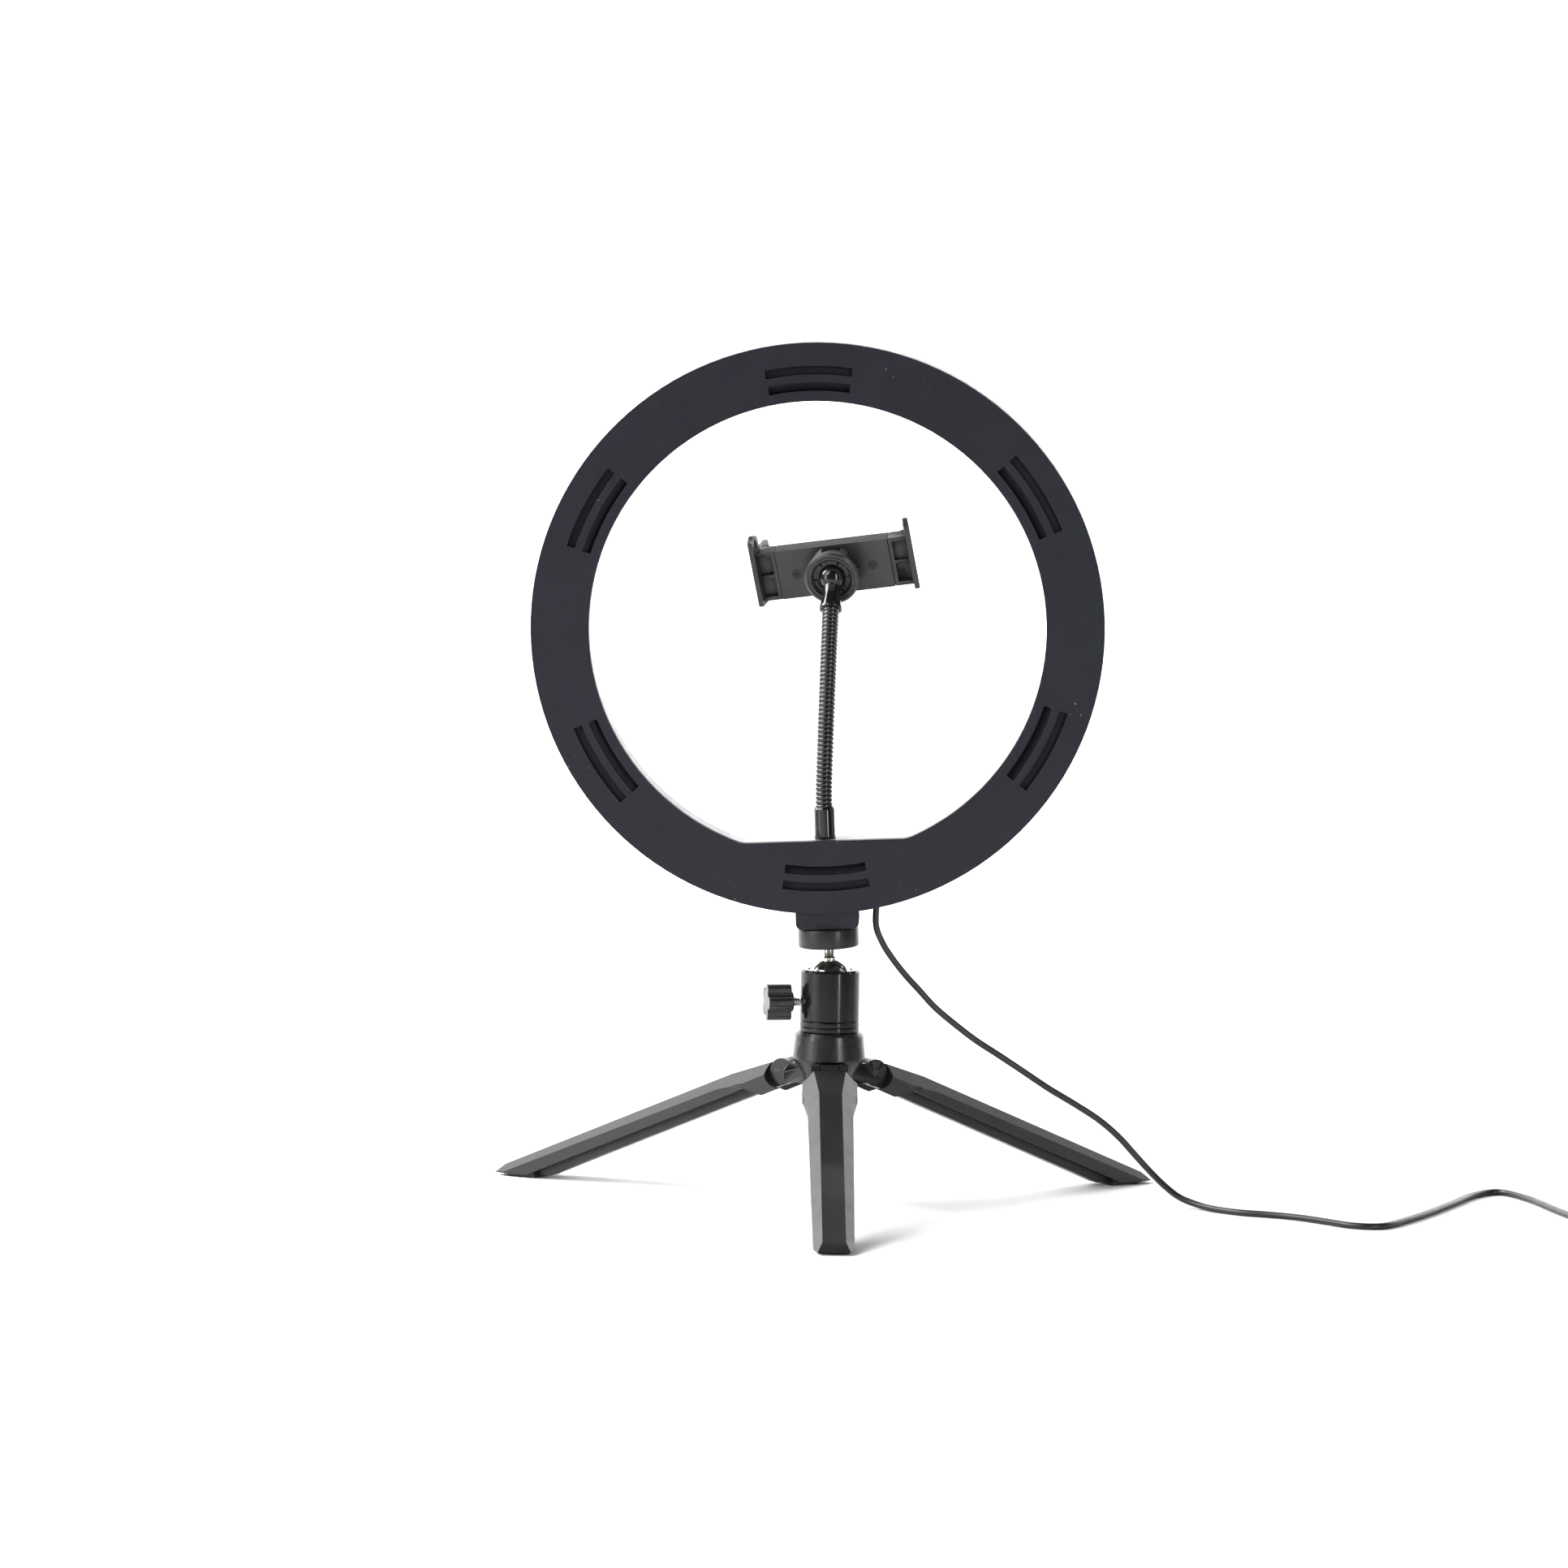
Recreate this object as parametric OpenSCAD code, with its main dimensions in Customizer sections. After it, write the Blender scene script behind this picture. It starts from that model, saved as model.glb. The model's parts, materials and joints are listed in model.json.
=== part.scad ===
/* [Ring light] */
// Outside diameter of the light
ring_od = 260; // [240:1:280]
// Width of the band between the outer and the inner edge
ring_band = 26.4; // [24:0.2:30]
// Depth of the light from the back plate to the diffuser's face
ring_depth = 22; // [20:1:26]
// Depth of the black back shell's side walls
shell_depth = 4; // [3.5:0.5:6]
// Distance from the ring's centre down to the flat at the bottom of the opening
flat_drop = 96.6; // [94:0.1:98]
// Radius in the corners where the flat meets the round opening
flat_corner = 12; // [6:1:16]
// Wall of the back shell
shell_wall = 2; // [1.6:0.1:2.4]
// Wall of the diffuser
diffuser_wall = 1.6; // [1.2:0.1:2]
// Number of vent pairs around the back shell
vent_pairs = 6; // [4:1:8]
// Width of one vent slot
vent_w = 3.9; // [2:0.1:4.5]
// Half of the angle that a vent slot spans
vent_half_angle = 9.6; // [6:0.1:12]
// Number of light-emitting diodes of each colour
led_count = 60; // [24:12:60]

/* [Pose at rest] */
// How far the light leans back, top towards its rear
lean_back = 3; // [0:0.5:8]
// How far the light leans to its left as seen from behind
lean_left = 2.7; // [0:0.1:6]
// How far the light is turned about its stud
light_turned = -2.8; // [-20:0.1:20]
// Azimuth that the lock knob points to
knob_azimuth = 191; // [180:1:200]

/* [Stand] */
// Height of the ball's centre above the floor
ball_z = 101.1; // [100:0.1:104]
// Radius of the chromed ball
ball_r = 11; // [10.5:0.1:11.2]
// Outside radius of the ball head's body
head_r = 13.6; // [13.2:0.05:14]
// Distance from the hub's axis to a leg's hinge
hinge_r = 20; // [19:0.5:21]
// Height of the leg hinges
hinge_z = 59.5; // [58:0.5:61]
// Slope of an open leg's back
leg_slope = 22.8; // [21:0.1:24]
// Distance from the hub's axis to a leg's tip
tip_r = 174; // [170:1:178]
// Width of a leg at its shoulders
leg_shoulder_w = 25; // [22:0.5:26]
// Width of a leg at its foot
leg_foot_w = 18; // [14:0.5:20]

/* [Gooseneck and phone clamp] */
// Radius of the gooseneck's wound wire sleeve
goose_r = 4; // [3.6:0.1:4.2]
// Length of the gooseneck between its two ferrules
goose_len = 93; // [85:1:100]
// Angle through which the gooseneck curves forwards at rest
goose_curve = 36; // [0:1:45]
// Angle through which the gooseneck leans to the right at rest
goose_lean = 3.6; // [0:0.1:8]
// Radius of the ball on the gooseneck's end
clamp_ball_r = 6.3; // [6:0.1:6.5]
// Width of the clamp's fixed body
clamp_w = 52.8; // [48:0.4:60]
// Height of the clamp's body
clamp_h = 23.8; // [20:0.2:28]
// Thickness of the clamp's body
clamp_t = 8; // [7.6:0.2:9]
// Width of a jaw's end block outside the body
jaw_block = 9.4; // [8:0.2:12]
// Pitch of the clamp, top towards the rear
clamp_pitch = 20; // [10:1:26]
// Roll of the clamp, right end up as seen from behind
clamp_roll = 8; // [0:0.5:12]
// Turn of the clamp, right end towards the rear
clamp_turn = 11.3; // [0:0.1:14]

/* [Lead] */
// Diameter of the lead's jacket
lead_d = 3; // [2.8:0.1:3.4]
// Height of the stored coil of lead
coil_h = 9; // [6:0.5:12]
// Inside radius of the stored coil
coil_in_r = 12; // [10:0.5:14]
// Outside radius of the stored coil
coil_out_r = 21; // [18:0.5:24]

/* [Hidden] */
$fn = 96;
eps = 0.01;
// The stand's axis lies in front of the middle of the footprint, because one leg points back.
axis_y = 40.5;

ring_ro = ring_od / 2;
ring_ri = ring_ro - ring_band;
// From the ball's centre up to the ring's centre
ring_up = 163.2;
ring_mid_r = (ring_ro + ring_ri) / 2;

// ---------- frames ----------

// From the light's own frame, with its origin at the big ball's centre and +Z along the stud
module on_head() {
    translate([0, axis_y, ball_z])
        rotate([lean_back, -lean_left, light_turned])
            children();
}

// From the ring's own frame: origin at its centre, +Z to its front, +Y up
module on_ring() {
    on_head()
        translate([0, 0, ring_up])
            rotate([90, 0, 180])
                mirror([1, 0, 0])
                    children();
}

// A leg's frame: origin at its hinge, +X outwards and level
module on_leg(azimuth) {
    translate([0, axis_y, 0])
        rotate([0, 0, azimuth])
            translate([hinge_r, 0, hinge_z])
                children();
}

// ---------- ring light ----------

// The opening's outline: a circle with a flat at the bottom and rounded corners
module opening_2d(radius, drop, corner) {
    side = sqrt(pow(radius - corner, 2) - pow(drop - corner, 2));
    grow = radius / (radius - corner);
    tangent = [side * grow, -(drop - corner) * grow];
    intersection() {
        circle(radius, $fn = 180);
        translate([-radius, tangent[1]])
            square([2 * radius, 2 * radius]);
    }
    for (s = [-1, 1])
        translate([s * side, -(drop - corner)])
            circle(corner);
    polygon([
        [-side, -drop], [side, -drop],
        [tangent[0], tangent[1] + eps], [-tangent[0], tangent[1] + eps]
    ]);
}

// The ring's band, drawn in by an amount on both edges
module band_2d(inset) {
    difference() {
        circle(ring_ro - inset, $fn = 180);
        opening_2d(ring_ri + inset, flat_drop + inset, flat_corner + inset);
    }
}

vent_deep = 3.9;

// A curved slot through the back plate, which goes on into the neck block where that lies behind it
module vent(radius) {
    translate([0, 0, -ring_depth / 2 - 1])
        rotate([0, 0, 90 - vent_half_angle])
            rotate_extrude(angle = 2 * vent_half_angle, $fn = 180)
                translate([radius - vent_w / 2, 0])
                    square([vent_w, vent_deep + 1]);
}

neck_w = 28.8;
neck_d = 19;
neck_back = -ring_depth / 2 + 1;
neck_bottom = -(ring_up - 25.9);
neck_top = -flat_drop - 14;

module rear_housing() {
    color([0.14, 0.145, 0.17])
        on_ring()
            difference() {
                union() {
                    translate([0, 0, -ring_depth / 2])
                        difference() {
                            linear_extrude(shell_depth)
                                band_2d(0);
                            translate([0, 0, shell_wall])
                                linear_extrude(shell_depth)
                                    band_2d(shell_wall);
                        }
                    board_posts();
                    neck_block();
                }
                for (k = [0 : vent_pairs - 1])
                    rotate([0, 0, k * 360 / vent_pairs]) {
                        vent(ring_mid_r + 0.8);
                        vent(ring_mid_r - 6.6);
                    }
                // the stud's insert and the gooseneck's socket
                translate([0, neck_bottom, 0])
                    rotate([-90, 0, 0])
                        translate([0, 0, -1])
                            cylinder(r = insert_r, h = insert_len + 1);
                translate([0, -flat_drop + 1, 0])
                    rotate([90, 0, 0])
                        cylinder(r = goose_nut_r, h = 13);
            }
}

board_z = -ring_depth / 2 + 8;
post_low = -ring_depth / 2 + shell_wall - eps;

// Posts between the vents, which the board rests on
module board_posts() {
    for (k = [0 : 11])
        rotate([0, 0, k * 30 + 15])
            translate([0, ring_mid_r - 3, post_low])
                cylinder(r = 2, h = board_z - post_low, $fn = 24);
}

// The block under the ring that holds the stud's insert, and the post that holds the gooseneck
module neck_block() {
    translate([0, 0, neck_back])
        linear_extrude(neck_d) {
            translate([-neck_w / 2, neck_bottom + 3])
                square([neck_w, neck_top - neck_bottom - 3]);
            translate([-neck_w / 2 + 3, neck_bottom])
                square([neck_w - 6, 6]);
            for (s = [-1, 1])
                translate([s * (neck_w / 2 - 3), neck_bottom + 3])
                    circle(3, $fn = 32);
        }
    translate([-8, neck_top - 2, -8])
        cube([16, -flat_drop - shell_wall - neck_top + 2, 16]);
    translate([-12, neck_top - 2, -ring_depth / 2 + shell_wall - eps])
        cube([24, 6, 6]);
}

diffuser_back = -ring_depth / 2 + shell_depth + 0.1;

module diffuser() {
    color([0.93, 0.94, 0.95])
        on_ring()
            difference() {
                union() {
                    translate([0, 0, diffuser_back])
                        linear_extrude(ring_depth / 2 - 1.5 - diffuser_back)
                            band_2d(0.3);
                    translate([0, 0, ring_depth / 2 - 1.5 - eps])
                        linear_extrude(0.75)
                            band_2d(0.9);
                    translate([0, 0, ring_depth / 2 - 0.75 - 2 * eps])
                        linear_extrude(0.75 + 2 * eps)
                            band_2d(2.1);
                }
                translate([0, 0, diffuser_back - 1])
                    linear_extrude(ring_depth / 2 - diffuser_wall - diffuser_back + 1)
                        band_2d(0.3 + diffuser_wall);
                // room for the neck block, the gooseneck's post and the lead's grommet
                translate([-neck_w / 2 - 0.3, neck_bottom - 1, -neck_d])
                    cube([neck_w + 0.6, 14, 2 * neck_d + neck_back + 0.3]);
                translate([0, -flat_drop - 6, 0])
                    rotate([-90, 0, 0])
                        cylinder(r = shank_r + 0.1, h = 12, $fn = 48);
                translate([exit_x, -ring_ro - 4, 0])
                    rotate([-90, 0, 0])
                        cylinder(r = grommet_r + 0.05, h = 12, $fn = 48);
            }
}

board_t = 1.6;

module led_board() {
    color([0.85, 0.86, 0.84])
        on_ring()
            translate([0, 0, board_z])
                difference() {
                    linear_extrude(board_t)
                        band_2d(3.2);
                    translate([-neck_w / 2 - 0.5, -ring_ro - 1, -1])
                        cube([neck_w + 1, ring_ro - flat_drop + 2, board_t + 2]);
                    translate([exit_x - 4, -ring_ro - 1, -1])
                        cube([8, 12, board_t + 2]);
                }
}

led_w = 2.8;
led_h = 0.8;
// Diodes keep clear of the neck block, which takes the bottom of the ring.
led_gap = 22;

module led_row(offset_steps) {
    span = 360 - 2 * led_gap;
    pitch = span / (2 * led_count - 1);
    for (k = [0 : led_count - 1])
        rotate([0, 0, -180 + led_gap + (2 * k + offset_steps) * pitch])
            translate([-led_w / 2, ring_mid_r - led_w / 2, board_z + board_t])
                cube([led_w, led_w, led_h]);
}

module warm_leds() {
    color([0.95, 0.78, 0.35])
        on_ring()
            led_row(0);
}

module cool_leds() {
    color([0.95, 0.92, 0.6])
        on_ring()
            led_row(1);
}

insert_r = 4.4;
insert_len = 10;
stud_thread_r = 3.17;

module tripod_insert() {
    color([0.78, 0.62, 0.3])
        on_ring()
            translate([0, neck_bottom, 0])
                rotate([-90, 0, 0])
                    difference() {
                        cylinder(r = insert_r, h = insert_len);
                        translate([0, 0, -1])
                            cylinder(r = stud_thread_r + 0.05, h = insert_len);
                    }
}

goose_nut_r = 3.6;
shank_r = 2.45;
ferrule_r = 4.75;
ferrule_up = 14.7;
// The ferrule stands on the diffuser's wall, a little below the back shell's flat
ferrule_low = -flat_drop - 0.25;

// A brass nut under the flat, which the ferrule's shank screws into
module gooseneck_nut() {
    color([0.78, 0.62, 0.3])
        on_ring()
            translate([0, -flat_drop - 12, 0])
                rotate([-90, 0, 0])
                    difference() {
                        cylinder(r = goose_nut_r, h = 8);
                        translate([0, 0, 2])
                            cylinder(r = shank_r + 0.05, h = 8);
                    }
}

exit_x = 22.4;
grommet_r = 2.8;
exit_y = -sqrt(ring_ro * ring_ro - exit_x * exit_x);

module cable_grommet() {
    color([0.06, 0.06, 0.07])
        on_ring()
            translate([exit_x, exit_y - 0.6, 0])
                rotate([-90, 0, 0])
                    difference() {
                        union() {
                            cylinder(r = grommet_r, h = 6, $fn = 48);
                            translate([0, 0, 3.5])
                                cylinder(r = grommet_r + 0.7, h = 1.4, $fn = 48);
                        }
                        translate([0, 0, -1])
                            cylinder(r = lead_d / 2 + 0.05, h = 8, $fn = 48);
                    }
}

module gooseneck_ferrule() {
    color([0.09, 0.09, 0.1])
        on_ring()
            translate([0, ferrule_low, 0])
                rotate([-90, 0, 0])
                    difference() {
                        union() {
                            cylinder(r = ferrule_r, h = ferrule_up - 1);
                            translate([0, 0, ferrule_up - 1 - eps])
                                cylinder(r1 = ferrule_r, r2 = ferrule_r - 0.5, h = 1);
                            translate([0, 0, -8])
                                cylinder(r = shank_r, h = 8 + eps);
                        }
                        translate([0, 0, 3])
                            cylinder(r = goose_r + 0.05, h = ferrule_up);
                    }
}

// ---------- gooseneck ----------

// The neck is a chain of wound links. Joint k sits at pivot k, and the links' ends are spheres about
// the pivots, so a link never meets its neighbour as it bends.
link_n = 6;
pivots = link_n + 1;
root_len = 6;
tip_len = 8;
link_len = (goose_len - root_len - tip_len) / link_n;
end_r = 4.6;
end_gap = 0.3;
bend_step = goose_curve / pivots;

// From the frame at the base ferrule's mouth, +Z up the neck, to pivot k, turned with the links above it
module at_pivot(k) {
    if (k == 0)
        translate([0, 0, root_len])
            rotate([-bend_step, goose_lean, 0])
                children();
    else
        at_pivot(k - 1)
            translate([0, 0, link_len])
                rotate([-bend_step, 0, 0])
                    children();
}

module on_gooseneck() {
    on_head()
        translate([0, 0, ring_up + ferrule_low + ferrule_up])
            children();
}

// A stretch of wound sleeve from the pivot below, hollowed to clear it, to the pivot above, rounded
module wound(length, hollow, rounded) {
    difference() {
        union() {
            cylinder(r = goose_r, h = length, $fn = 48);
            if (rounded)
                intersection() {
                    translate([0, 0, length - eps])
                        cylinder(r = goose_r, h = end_r, $fn = 48);
                    translate([0, 0, length])
                        sphere(end_r, $fn = 64);
                }
        }
        if (hollow)
            sphere(end_r + end_gap, $fn = 64);
    }
}

module gooseneck_root() {
    color([0.1, 0.1, 0.11])
        on_gooseneck()
            translate([0, 0, -ferrule_up + 4])
                wound(root_len + ferrule_up - 4, false, true);
}

module gooseneck_link(k) {
    color([0.1, 0.1, 0.11])
        on_gooseneck()
            at_pivot(k - 1)
                wound(link_len, true, true);
}

module gooseneck_tip() {
    color([0.1, 0.1, 0.11])
        on_gooseneck()
            at_pivot(pivots - 1)
                wound(tip_len + 5.2, true, false);
}

// From the gooseneck's end: the ball's centre stands this far beyond the top ferrule's lip
ball_beyond = 17.5;
top_ferrule_r = 5.2;

module on_clamp_ball() {
    on_gooseneck()
        at_pivot(pivots - 1)
            translate([0, 0, tip_len + ball_beyond])
                children();
}

module clamp_ball() {
    color([0.08, 0.08, 0.09])
        on_clamp_ball() {
            sphere(clamp_ball_r);
            difference() {
                union() {
                    translate([0, 0, -ball_beyond])
                        cylinder(r = top_ferrule_r, h = 1.5, $fn = 64);
                    translate([0, 0, -ball_beyond + 1.5 - eps])
                        cylinder(r1 = top_ferrule_r, r2 = 3.8, h = 7, $fn = 64);
                    translate([0, 0, -ball_beyond + 8.5 - 2 * eps])
                        cylinder(r = 3.8, h = ball_beyond - 10, $fn = 64);
                }
                translate([0, 0, -ball_beyond - 1])
                    cylinder(r = goose_r + 0.05, h = 6.3, $fn = 64);
            }
        }
}

// ---------- phone clamp ----------

// The world frame's tilt at the clamp's ball is undone first, so the clamp's angles are its own.
// The clamp's frame: origin at its ball's centre, +X along its width, +Y to the phone, +Z up its height
module on_clamp() {
    on_head()
        translate(clamp_ball_at)
            rotate([-lean_back, 0, 0])
                rotate([0, lean_left, 0])
                    rotate([0, 0, -light_turned])
                        rotate([clamp_pitch, -clamp_roll, -clamp_turn])
                            children();
}

// The clamp ball's centre in the head's frame, worked out along the same chain of pivots
function turn_x(a, v) = [v[0], v[1] * cos(a) - v[2] * sin(a), v[1] * sin(a) + v[2] * cos(a)];
function turn_y(a, v) = [v[0] * cos(a) + v[2] * sin(a), v[1], -v[0] * sin(a) + v[2] * cos(a)];
function reach(k) =
    k == pivots - 1 ? turn_x(-bend_step, [0, 0, tip_len + ball_beyond])
    : turn_x(-bend_step, [0, 0, link_len] + reach(k + 1));
goose_foot = [0, 0, ring_up + ferrule_low + ferrule_up + root_len];
clamp_ball_at = goose_foot + turn_y(goose_lean, reach(0));

liner_wall = 0.66;
fit_gap = 0.04;
socket_r = 8.4;
socket_back = 9.5;

// A nylon band between the small ball and its cup
module clamp_ball_liner() {
    color([0.8, 0.8, 0.78])
        on_clamp()
            rotate([-90, 0, 0])
                difference() {
                    sphere(clamp_ball_r + fit_gap + liner_wall);
                    sphere(clamp_ball_r + fit_gap);
                    translate([-10, -10, -20.3])
                        cube([20, 20, 20]);
                    translate([-10, -10, 5.6])
                        cube([20, 20, 10]);
                }
}

// The cup that holds the ball is moulded with the clamp's back cover, and split into fingers
module clamp_back() {
    color([0.16, 0.16, 0.18])
        on_clamp()
            difference() {
                union() {
                    translate([0, -1, 0])
                        rotate([-90, 0, 0])
                            cylinder(r = socket_r, h = socket_back + 1.2);
                    translate([0, socket_back - 2, 0])
                        rotate([-90, 0, 0])
                            cylinder(r = socket_r + 1.6, h = 2.2);
                    translate([-clamp_w / 2, socket_back, -clamp_h / 2])
                        cube([clamp_w, 2, clamp_h]);
                }
                sphere(clamp_ball_r + 2 * fit_gap + liner_wall);
                for (a = [30, 90, 150])
                    rotate([0, a, 0])
                        translate([-0.4, -3, -12])
                            cube([0.8, 7, 24]);
                for (s = [-1, 1])
                    translate([s * clamp_screw_x, socket_back - 1, 0])
                        rotate([-90, 0, 0])
                            cylinder(r = 1.35, h = 4, $fn = 32);
                for (s = [-1, 1])
                    translate([s * clamp_screw_x, socket_back - eps, 0])
                        rotate([-90, 0, 0])
                            cylinder(r = 2.3, h = 1.1, $fn = 32);
            }
}

clamp_screw_x = 17.6;
cavity_h = clamp_h - 4;
clamp_face = socket_back + clamp_t;
middle_wall = 5;

// The cover's front half: a tray with a middle wall and two screw posts, open at both ends
module clamp_front() {
    color([0.16, 0.16, 0.18])
        on_clamp()
            difference() {
                union() {
                    difference() {
                        translate([-clamp_w / 2, socket_back + 2.05, -clamp_h / 2])
                            cube([clamp_w, clamp_t - 2.05, clamp_h]);
                        for (s = [0, 1])
                            mirror([s, 0, 0])
                                translate([middle_wall, socket_back, -cavity_h / 2])
                                    cube([clamp_w / 2, clamp_t - 1.6, cavity_h]);
                    }
                    for (s = [-1, 1])
                        translate([s * clamp_screw_x, socket_back + 2.05, 0])
                            rotate([-90, 0, 0])
                                cylinder(r = 2.4, h = clamp_t - 3, $fn = 32);
                }
                for (s = [-1, 1])
                    translate([s * clamp_screw_x, socket_back, 0])
                        rotate([-90, 0, 0])
                            cylinder(r = 1.15, h = 5, $fn = 32);
                for (z = rod_z)
                    translate([-8, rod_y, z])
                        rotate([0, 90, 0])
                            cylinder(r = rod_r, h = 16, $fn = 32);
            }
}

module clamp_screws() {
    color([0.25, 0.25, 0.27])
        on_clamp()
            for (s = [-1, 1])
                translate([s * clamp_screw_x, socket_back + 0.15, 0])
                    rotate([-90, 0, 0])
                        difference() {
                            union() {
                                cylinder(r = 2.2, h = 0.9, $fn = 32);
                                cylinder(r = 1.1, h = 4, $fn = 32);
                            }
                            for (a = [0, 90])
                                rotate([0, 0, a + 20])
                                    translate([-1.3, -0.3, -0.5])
                                        cube([2.6, 0.6, 1]);
                        }
}

rod_r = 1;
rod_y = 13.75;
rod_z = [-7.5, 7.5];
rod_half = 34;

module guide_rods() {
    color([0.75, 0.75, 0.77])
        on_clamp()
            for (z = rod_z)
                translate([-rod_half, rod_y, z])
                    rotate([0, 90, 0])
                        cylinder(r = rod_r, h = 2 * rod_half, $fn = 32);
}

arm_in = 10;
block_x = clamp_w / 2 + 0.3;
wall_x = block_x + jaw_block;
wall_back = socket_back - 1.6;
pocket_h = clamp_h / 2 - 2.6;

// A jaw on the +X side: two arms that slide on the rods, an end block with two pockets,
// and a side wall with a hooked lip, an arched loop on top and a toe below
module jaw() {
    difference() {
        union() {
            translate([block_x, socket_back + 0.4, -clamp_h / 2])
                cube([jaw_block, clamp_t - 0.4, clamp_h]);
            for (s = [0, 1])
                mirror([0, 0, s])
                    translate([arm_in, socket_back + 2.35, 4])
                        cube([block_x - arm_in + 1, clamp_t - 4.2, cavity_h / 2 - 4.3]);
        }
        for (z = rod_z)
            translate([0, rod_y, z])
                rotate([0, 90, 0])
                    cylinder(r = rod_r + 0.05, h = rod_half + 0.8, $fn = 32);
        for (z = [0.7, -pocket_h - 0.7])
            translate([block_x + 1.6, socket_back - 1, z])
                cube([jaw_block - 2.8, 3.4, pocket_h]);
    }
    on_jaw_wall()
        jaw_wall();
}

hook_lean = 12;
hook_len = 19;
wall_t = 2.4;

// The side wall's own frame: origin at its back edge, +Y forwards, leaning in to the phone
module on_jaw_wall() {
    translate([wall_x, wall_back, 0])
        rotate([0, 0, hook_lean])
            children();
}

module jaw_wall() {
    translate([-0.5, 0, -clamp_h / 2 - 1.8])
        cube([wall_t, hook_len, clamp_h + 1.8]);
    translate([-2.6, hook_len - 2.2, -clamp_h / 2])
        cube([wall_t + 2, 2.2, clamp_h - 5]);
    translate([-0.5, 0, clamp_h / 2 - 3])
        rotate([90, 0, 90])
            linear_extrude(wall_t)
                difference() {
                    union() {
                        square([loop_w, loop_h]);
                        translate([loop_w / 2, loop_h])
                            circle(loop_w / 2, $fn = 48);
                    }
                    translate([2, loop_h - 2.5])
                        square([loop_w - 4, 2.5]);
                    translate([loop_w / 2, loop_h])
                        circle(loop_w / 2 - 2, $fn = 48);
                }
}

loop_w = 7.8;
loop_h = 7.2;

module right_jaw() {
    color([0.13, 0.13, 0.15])
        on_clamp()
            jaw();
}

module left_jaw() {
    color([0.13, 0.13, 0.15])
        on_clamp()
            mirror([1, 0, 0])
                jaw();
}

// A rubber strip on the jaw's wall, in front of the body, that the phone's edge meets
module grip() {
    on_jaw_wall()
        translate([-1.95, clamp_face - wall_back + 1.2, -clamp_h / 2 + 2])
            cube([1.45, 6, clamp_h - 4]);
}

module right_grip() {
    color([0.05, 0.05, 0.05])
        on_clamp()
            grip();
}

module left_grip() {
    color([0.05, 0.05, 0.05])
        on_clamp()
            mirror([1, 0, 0])
                grip();
}

// Two pull springs round the guide rods, which draw one jaw in, each as its sleeve of wire
spring_r = 1.75;

module springs() {
    for (z = rod_z)
        translate([middle_wall + 0.1, rod_y, z])
            rotate([0, 90, 0])
                difference() {
                    cylinder(r = spring_r, h = arm_in - middle_wall - 0.2, $fn = 32);
                    translate([0, 0, -1])
                        cylinder(r = rod_r + 0.15, h = arm_in, $fn = 32);
                }
}

module right_spring() {
    color([0.75, 0.75, 0.78])
        on_clamp()
            springs();
}

module left_spring() {
    color([0.75, 0.75, 0.78])
        on_clamp()
            mirror([1, 0, 0])
                springs();
}

collar_r = 12.6;
collar_face = -2.4;
collar_len = 9.4;

// The lock nut round the cup: a flanged mouth with turned steps, and six ribs behind it
module clamp_collar() {
    color([0.09, 0.09, 0.1])
        on_clamp()
            translate([0, collar_face, 0])
                rotate([-90, 0, 0])
                    difference() {
                        union() {
                            cylinder(r1 = collar_r - 0.8, r2 = collar_r, h = 0.8);
                            translate([0, 0, 0.8 - eps])
                                cylinder(r = collar_r, h = 2.4);
                            translate([0, 0, 3.2 - 2 * eps])
                                cylinder(r1 = collar_r, r2 = 10.6, h = 1);
                            translate([0, 0, 4.2 - 3 * eps])
                                cylinder(r = 10.6, h = collar_len - 4.2);
                            for (a = [0 : 60 : 300])
                                rotate([0, 0, a + 4])
                                    translate([9.8, -1.8, 3])
                                        cube([2.4, 3.6, collar_len - 3]);
                        }
                        translate([0, 0, -1])
                            cylinder(r = socket_r + 0.06, h = collar_len + 2);
                        translate([0, 0, -eps])
                            cylinder(r1 = 9.6, r2 = socket_r + 0.06, h = 1.2);
                        translate([0, 0, -eps])
                            difference() {
                                cylinder(r = 10.9, h = 0.5);
                                translate([0, 0, -1])
                                    cylinder(r = 10.3, h = 2);
                            }
                    }
}

// ---------- ball head ----------

disc_low = 17;
disc_high = 25.6;
stem_r = 2.5;
disc_r = 13.9;

module platform_disc() {
    color([0.12, 0.12, 0.13])
        on_head()
            difference() {
                union() {
                    translate([0, 0, disc_low])
                        cylinder(r1 = disc_r - 0.3, r2 = disc_r, h = 0.5);
                    translate([0, 0, disc_low + 0.5 - eps])
                        cylinder(r = disc_r, h = disc_high - disc_low - 1);
                    translate([0, 0, disc_high - 0.5 - 2 * eps])
                        cylinder(r1 = disc_r, r2 = disc_r - 0.5, h = 0.5);
                }
                translate([0, 0, disc_low - 1])
                    cylinder(r = stem_r, h = 20);
            }
}

// The steel stud carries the ball below and the camera thread above
module ball_stud() {
    color([0.8, 0.8, 0.82])
        on_head() {
            sphere(ball_r);
            translate([0, 0, ball_r - 1])
                cylinder(r = stem_r + 0.7, h = 1.8, $fn = 64);
            translate([0, 0, ball_r - 1])
                cylinder(r = stem_r, h = disc_high - ball_r + 1 + eps, $fn = 64);
            translate([0, 0, disc_high])
                cylinder(r = stud_thread_r, h = 8.4, $fn = 64);
        }
}

ball_liner_wall = 0.8;
liner_top = 5.2;
liner_bottom = -3;

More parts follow.
